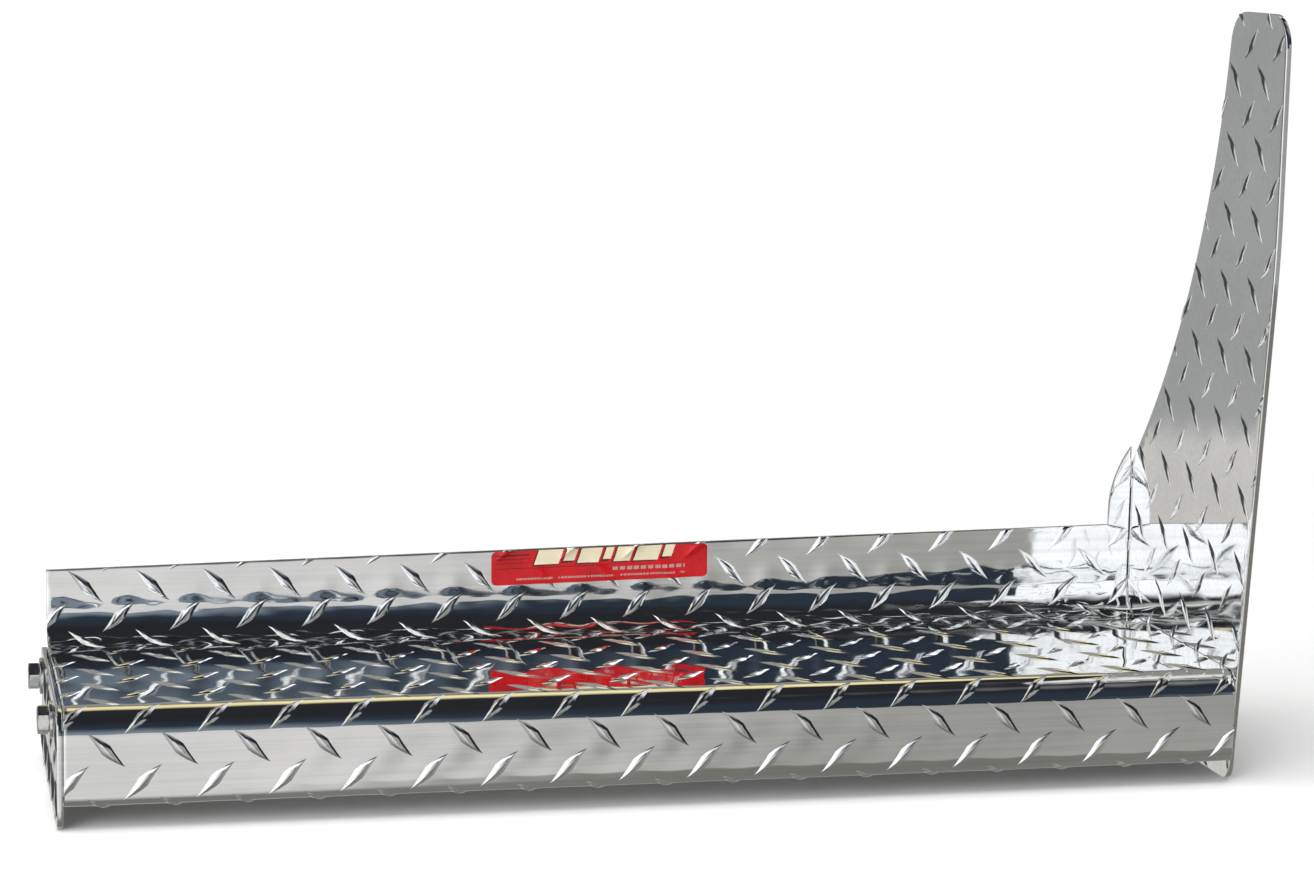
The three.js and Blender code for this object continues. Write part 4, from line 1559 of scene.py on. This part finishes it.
@dataclass(frozen=True)
class LabelFilm:
    """A printed film stuck over the back panel and its lugs."""

    sheet: TreadSheet = TreadSheet()
    start: float = 258.0
    length: float = 131.0
    height: float = 20.0
    edge: float = 0.8
    corner: float = 3.0
    film: float = 0.12
    lift: float = 0.03  # how far it stays off the sheet
    pace: float = 0.4
    bars_start: float = 25.0
    bars: tuple[tuple[float, float], ...] = (  # width and bottom of each cream bar
        (17, 11.4), (9, 12.8), (15, 11.4), (7, 12.8), (12, 11.4), (17, 11.4), (8, 12.8),
    )
    rules: tuple[Triple, ...] = (  # height, half thickness and right end of each dark rule
        (17.5, 0.35, 23), (15.2, 0.35, 23), (12.9, 0.3, 23), (9.6, 0.3, 70),
    )

    def draped(self, height: Array) -> Array:
        """A film pulled over lugs: each point is the higher of the lug and the mean of its neighbours.

        Args:
            height: of the lugs, on the film's grid.

        Returns:
            Height of the film.
        """
        film = height.copy()
        for _ in range(60):
            padded = np.pad(film, 1, mode="edge")
            mean = (padded[:-2, 1:-1] + padded[2:, 1:-1] + padded[1:-1, :-2] + padded[1:-1, 2:]) / 4
            film = np.maximum(height, mean * 0.985)
        return film

    def inks(self, u: Array, v: Array) -> dict[str, Array]:
        """Where each ink lies.

        The cream shapes are slanted bars of uneven width, each set off by a dark band on its lower left. Dark
        rules run to the left of them, and rows of short pale dashes lie below.

        Args:
            u: distance from the left end.
            v: distance from the bottom.

        Returns:
            For each ink, 1 where it lies and 0 elsewhere.
        """
        slant = u - 0.35 * (v - 10)
        cream, dark = np.zeros_like(u), np.zeros_like(u)
        left = self.bars_start
        for width, low in self.bars:
            for target, shift in ((dark, 0.9), (cream, 0.0)):
                bar = (slant > left - shift) & (slant < left + width - 2.2 - shift)
                target[bar & (v > low - shift)] = 1.0
            left += width
        for height, half, end in self.rules:
            dark[(np.abs(v - height) < half) & (u > 2) & (u < end)] = 1.0
        dash = np.mod(u * 0.62 + 0.4 * np.sin(u * 0.37), 1.0) < 0.72
        small = (np.abs(v - 3.2) < 0.6) & (u > 15) & (u < 117) & dash & (np.mod(u, 37) > 3.4)
        medium = (np.abs(v - 7.2) < 1.1) & (u > 73) & (u < 117) & (np.mod(u, 4.3) < 3.2)
        return {"cream": cream, "dark": dark, "pale": (small | medium).astype(float)}

    def build(self, material: bpy.types.Material) -> None:
        """Makes the film: a thin shell draped over the lugs, with its corners rounded off.

        Args:
            material: its finish.
        """
        profile = self.sheet.profile
        u = np.arange(0, self.length + self.pace / 2, self.pace)
        v = np.linspace(0, self.height, round(self.height / self.pace) + 1)
        v_grid, u_grid = np.meshgrid(v, u, indexing="ij")
        # the rows near the top and the bottom are drawn in round the corners
        from_end = np.minimum(v_grid, self.height - v_grid)
        inset = self.corner - np.sqrt(self.corner**2 - np.maximum(self.corner - from_end, 0) ** 2)
        u_grid = inset + u_grid * (1 - 2 * inset / self.length)
        x = self.start + u_grid
        z = self.sheet.top(x) - self.edge - self.height + v_grid
        s = profile.girth(6) + z - profile.back
        rise = self.draped(self.sheet.pattern().height_at(x, s)) + self.lift
        top = self.sheet.on_surface(x, s, rise + self.film)
        bottom = self.sheet.on_surface(x, s, rise)
        count = x.size
        number = np.arange(count).reshape(x.shape)
        rim = np.concatenate([number[0], number[1:, -1], number[-1, -2::-1], number[-2:0:-1, 0]])
        next_rim = np.roll(rim, -1)
        wall = np.stack([rim, next_rim, next_rim + count, rim + count], axis=1)
        patch = joined([grid_patch(top), grid_patch(bottom)])
        patch.faces.append(wall)
        mesh = mesh_of("printed_label_film", patch, merge=1e-4)
        self.paint(mesh, self.inks(u_grid, v_grid))
        add_piece(mesh, material, ["back_panel_label"])

    def paint(self, mesh: bpy.types.Mesh, inks: dict[str, Array]) -> None:
        """Stores each ink as a point attribute on both sides of the film.

        Args:
            mesh: the film's mesh.
            inks: each ink's values on the film's grid.
        """
        for ink, values in inks.items():
            attribute = mesh.attributes.new(f"ink_{ink}", "FLOAT", "POINT")
            attribute.data.foreach_set("value", np.tile(values.ravel(), 2).astype(np.float32))


# ---- Studio --------------------------------------------------------------------------------------


@dataclass(frozen=True)
class Glow:
    """One soft-edged patch of the studio's surroundings, in degrees.

    Azimuth 0 lies behind the board, 90 to its right and 180 in front of it.
    """

    azimuth: float
    width: float
    low: float
    high: float
    colour: Triple
    soft_azimuth: float = 4.0
    soft_low: float = 2.0
    soft_high: float = 2.0


@dataclass(frozen=True)
class Studio:
    """Pale floor, soft lights, dark and bright cards for the metal to mirror, and the camera."""

    base: Triple = (0.022, 0.023, 0.027)
    cards: tuple[Glow, ...] = (
        # the ground: grey all round, paler in front on the left and behind on the left, dark by the guard
        Glow(0, 400, -90, 6, (0.36, 0.357, 0.34), soft_high=1.5),
        Glow(-155, 74, -90, 6, (0.74, 0.73, 0.72), soft_azimuth=7, soft_high=1.5),
        Glow(-45, 110, -90, 6, (0.62, 0.61, 0.59), soft_azimuth=8, soft_high=1.5),
        Glow(150, 40, -90, -15.4, (0.20, 0.195, 0.175), soft_azimuth=5, soft_high=0.9),
        Glow(0, 400, -90, -42, (0.20, 0.20, 0.19), soft_high=22),  # shade under the board
        # dark blue in front, with a lighter blue to its left
        Glow(180, 88, 7, 44, (0.026, 0.037, 0.055), soft_azimuth=6, soft_high=12),
        Glow(-172, 34, 6, 20, (0.22, 0.27, 0.33), soft_azimuth=6, soft_high=12),
        # grey behind, low and high, and the warm strip and the bright card that the step's lugs catch
        Glow(0, 180, -4, 34, (0.30, 0.30, 0.28), soft_high=6),
        Glow(-32, 62, 32, 60, (0.34, 0.34, 0.32), soft_azimuth=4, soft_low=6, soft_high=10),
        Glow(16, 30, 39, 61, (1.00, 0.88, 0.50), soft_azimuth=2, soft_low=6, soft_high=8),
        Glow(44, 20, 14, 42, (1.4, 1.45, 1.55), soft_azimuth=3, soft_low=5, soft_high=5),
        Glow(-138, 62, -17, 46, (1.25, 1.28, 1.32), soft_azimuth=10, soft_low=5, soft_high=8),  # key
        # for the guard: the pale wall behind on the left, and the dark card that its lugs catch
        Glow(-24, 50, -8.5, 10, (0.365, 0.375, 0.375), soft_low=0.3, soft_azimuth=12),
        Glow(-54, 34, -34, 38, (0.06, 0.065, 0.07), soft_azimuth=5, soft_low=8, soft_high=8),
        # fill on the right, low, middle and high, and on the left
        Glow(142, 26, 6, 15, (0.45, 0.45, 0.44), soft_azimuth=5, soft_high=3),
        Glow(122, 34, 34, 62, (0.26, 0.27, 0.28), soft_azimuth=8, soft_low=6, soft_high=8),
        Glow(80, 40, 26, 60, (0.85, 0.87, 0.9), soft_azimuth=12, soft_low=8, soft_high=12),
        Glow(-96, 40, 8, 66, (1.0, 1.0, 0.98), soft_azimuth=12, soft_low=8, soft_high=12),
    )
    overhead: Triple = (1.0, 1.0, 0.98)  # behind and above on the left
    floor_reach: float = 40.0  # metres
    floor_level: float = -0.0004  # just clear of the feet
    floor_fade: tuple[float, float] = (0.45, 1.3)  # metres out where it starts to glow, and only glows
    camera_at: Triple = (-0.41704, -1.79351, 0.48120)
    yaw: float = 13.26
    pitch: float = 8.87
    roll: float = 1.20
    lens: float = 91.15
    sensor: float = 36.0

    def build_world(self) -> None:
        """Paints the cards over the base, in order, by direction."""
        world = bpy.data.worlds.new("studio_cards")
        world.use_nodes = True
        bpy.context.scene.world = world
        graph = Graph(world.node_tree)
        direction = graph.add("ShaderNodeTexCoord").outputs["Generated"]
        parts = graph.add("ShaderNodeSeparateXYZ", {0: direction}).outputs
        degrees = 360 / TURN
        height = graph.math("MULTIPLY", graph.math("ARCSINE", parts[2]), degrees)
        azimuth = graph.math("MULTIPLY", graph.math("ARCTAN2", parts[0], parts[1]), degrees)
        colour = graph.mix(0.0, rgba(*self.base), rgba(*self.base))
        # the overhead card covers what is left of the board, behind it and high up
        left = graph.ramp(parts[0], -0.26, -0.05, 1.0, 0.0)
        behind = graph.ramp(parts[1], -0.02, 0.10)
        up = graph.math("MULTIPLY", graph.ramp(height, 52.0, 66.0), behind)
        colour = graph.mix(graph.math("MULTIPLY", left, up), colour, rgba(*self.overhead))
        for card in self.cards:
            away = graph.math("ADD", azimuth, 540.0 - card.azimuth)
            away = graph.math("SUBTRACT", graph.math("FLOORED_MODULO", away, 360.0), 180.0)
            away = graph.math("ABSOLUTE", away)
            half, soft = card.width / 2, card.soft_azimuth
            across = graph.ramp(away, half - soft, half + soft, 1.0, 0.0)
            above = graph.ramp(height, card.low - card.soft_low, card.low + card.soft_low)
            below = graph.ramp(height, card.high - card.soft_high, card.high + card.soft_high, 1.0, 0.0)
            mask = graph.math("MULTIPLY", across, graph.math("MULTIPLY", above, below))
            colour = graph.mix(mask, colour, rgba(*card.colour))
        background = graph.add("ShaderNodeBackground", {"Color": colour, "Strength": 1.0})
        graph.add("ShaderNodeOutputWorld", {"Surface": background.outputs[0]})

    def build_floor(self) -> None:
        """A pale floor, and a pale shell beyond it that only the camera meets."""
        reach = self.floor_reach
        white = {"Color": rgba(1.0, 1.0, 1.0)}
        floor_mesh = bpy.data.meshes.new("studio_floor")
        corners = [(-reach, -reach, 0), (reach, -reach, 0), (reach, reach, 0), (-reach, reach, 0)]
        floor_mesh.from_pydata(corners, [], [(0, 1, 2, 3)])
        floor = bpy.data.objects.new("studio_floor", floor_mesh)
        floor.location.z = self.floor_level
        paint, graph = new_material("pale_floor")
        place = graph.place()
        clouds = graph.ramp(graph.noise(place, 1.5), 0.3, 0.7)
        tone = graph.mix(clouds, rgba(0.83, 0.83, 0.83), rgba(0.80, 0.80, 0.80))
        near = graph.add("ShaderNodeBsdfDiffuse", {"Color": tone}).outputs[0]
        far = graph.add("ShaderNodeEmission", white).outputs[0]
        away = graph.add("ShaderNodeVectorMath", {0: place}, operation="LENGTH").outputs["Value"]
        graph.finish("ShaderNodeMixShader", {0: graph.ramp(away, *self.floor_fade), 1: near, 2: far})
        floor_mesh.materials.append(paint)
        shell_mesh = bpy.data.meshes.new("studio_shell")
        shape = bmesh.new()
        bmesh.ops.create_uvsphere(shape, u_segments=48, v_segments=24, radius=reach)
        bmesh.ops.reverse_faces(shape, faces=shape.faces)
        shape.to_mesh(shell_mesh)
        shape.free()
        shell = bpy.data.objects.new("studio_shell", shell_mesh)
        glow, graph = new_material("pale_shell")
        graph.finish("ShaderNodeEmission", white)
        shell_mesh.materials.append(glow)
        for thing in (floor, shell):
            bpy.context.scene.collection.objects.link(thing)
            thing.visible_glossy = False
        shell.visible_diffuse = False
        shell.visible_shadow = False
        shell.visible_transmission = False

    def add_area(self, name: str, at: Triple, size: float, power: float) -> None:
        """A soft square lamp that looks at the object and isn't mirrored in it.

        Args:
            name: its name.
            at: where it hangs, in metres.
            size: its side, in metres.
            power: in watts.
        """
        lamp = bpy.data.lights.new(name, "AREA")
        lamp.shape = "SQUARE"
        lamp.size = size
        lamp.energy = power
        thing = bpy.data.objects.new(name, lamp)
        thing.location = at
        thing.rotation_mode = "QUATERNION"
        thing.rotation_quaternion = (-Vector(at)).to_track_quat("-Z", "Y")
        thing.visible_glossy = False
        bpy.context.scene.collection.objects.link(thing)

    def build_camera(self) -> None:
        """The camera, from its yaw towards +X, its pitch down and its roll."""
        yaw, pitch, roll = (math.radians(value) for value in (self.yaw, self.pitch, self.roll))
        level = Vector((math.sin(yaw), math.cos(yaw), 0.0))
        forward = level * math.cos(pitch) - Vector((0.0, 0.0, math.sin(pitch)))
        right = Vector((math.cos(yaw), -math.sin(yaw), 0.0))
        up = right.cross(forward)
        across = right * math.cos(roll) + up * math.sin(roll)
        upward = up * math.cos(roll) - right * math.sin(roll)
        data = bpy.data.cameras.new("camera")
        data.lens, data.sensor_width = self.lens, self.sensor
        data.clip_end = 200.0
        camera = bpy.data.objects.new("camera", data)
        turn = Matrix((across, upward, -forward)).transposed()
        camera.matrix_world = Matrix.Translation(self.camera_at) @ turn.to_4x4()
        bpy.context.scene.collection.objects.link(camera)
        bpy.context.scene.camera = camera

    def build(self) -> None:
        """Sets the whole studio up."""
        bpy.context.scene.view_settings.view_transform = "Standard"
        self.build_world()
        self.build_floor()
        self.add_area("overhead_soft_lamp", at=(-0.6, -0.4, 3.2), size=3.4, power=135.0)
        self.add_area("front_soft_lamp", at=(-2.2, -2.6, 1.6), size=1.8, power=50.0)
        self.build_camera()


# ---- Main ----------------------------------------------------------------------------------------

BOARD = BoardFrame.from_nodes()


def main() -> None:
    """Builds every sub-assembly in order, then the studio."""
    logging.basicConfig(level=logging.INFO, format="%(name)s: %(message)s")
    plate, mill = BRIGHT_PLATE.build(), MILL_ALUMINIUM.build()
    zinc, weld = ZINC.build(), WELD.build()
    TreadSheet().build(plate)
    Ends().build(plate)
    for node in ("left_end_angle", "right_end_angle", "front_rail", "rear_rail"):
        eased_copy(node, f"{node}_eased", 0.5, mill)
    EndBolts().build(zinc)
    SlideBolts().build(zinc)
    Welds().build(weld)
    LabelFilm().build(LabelFinish().build())
    Studio().build()


if __name__ == "__main__":
    main()
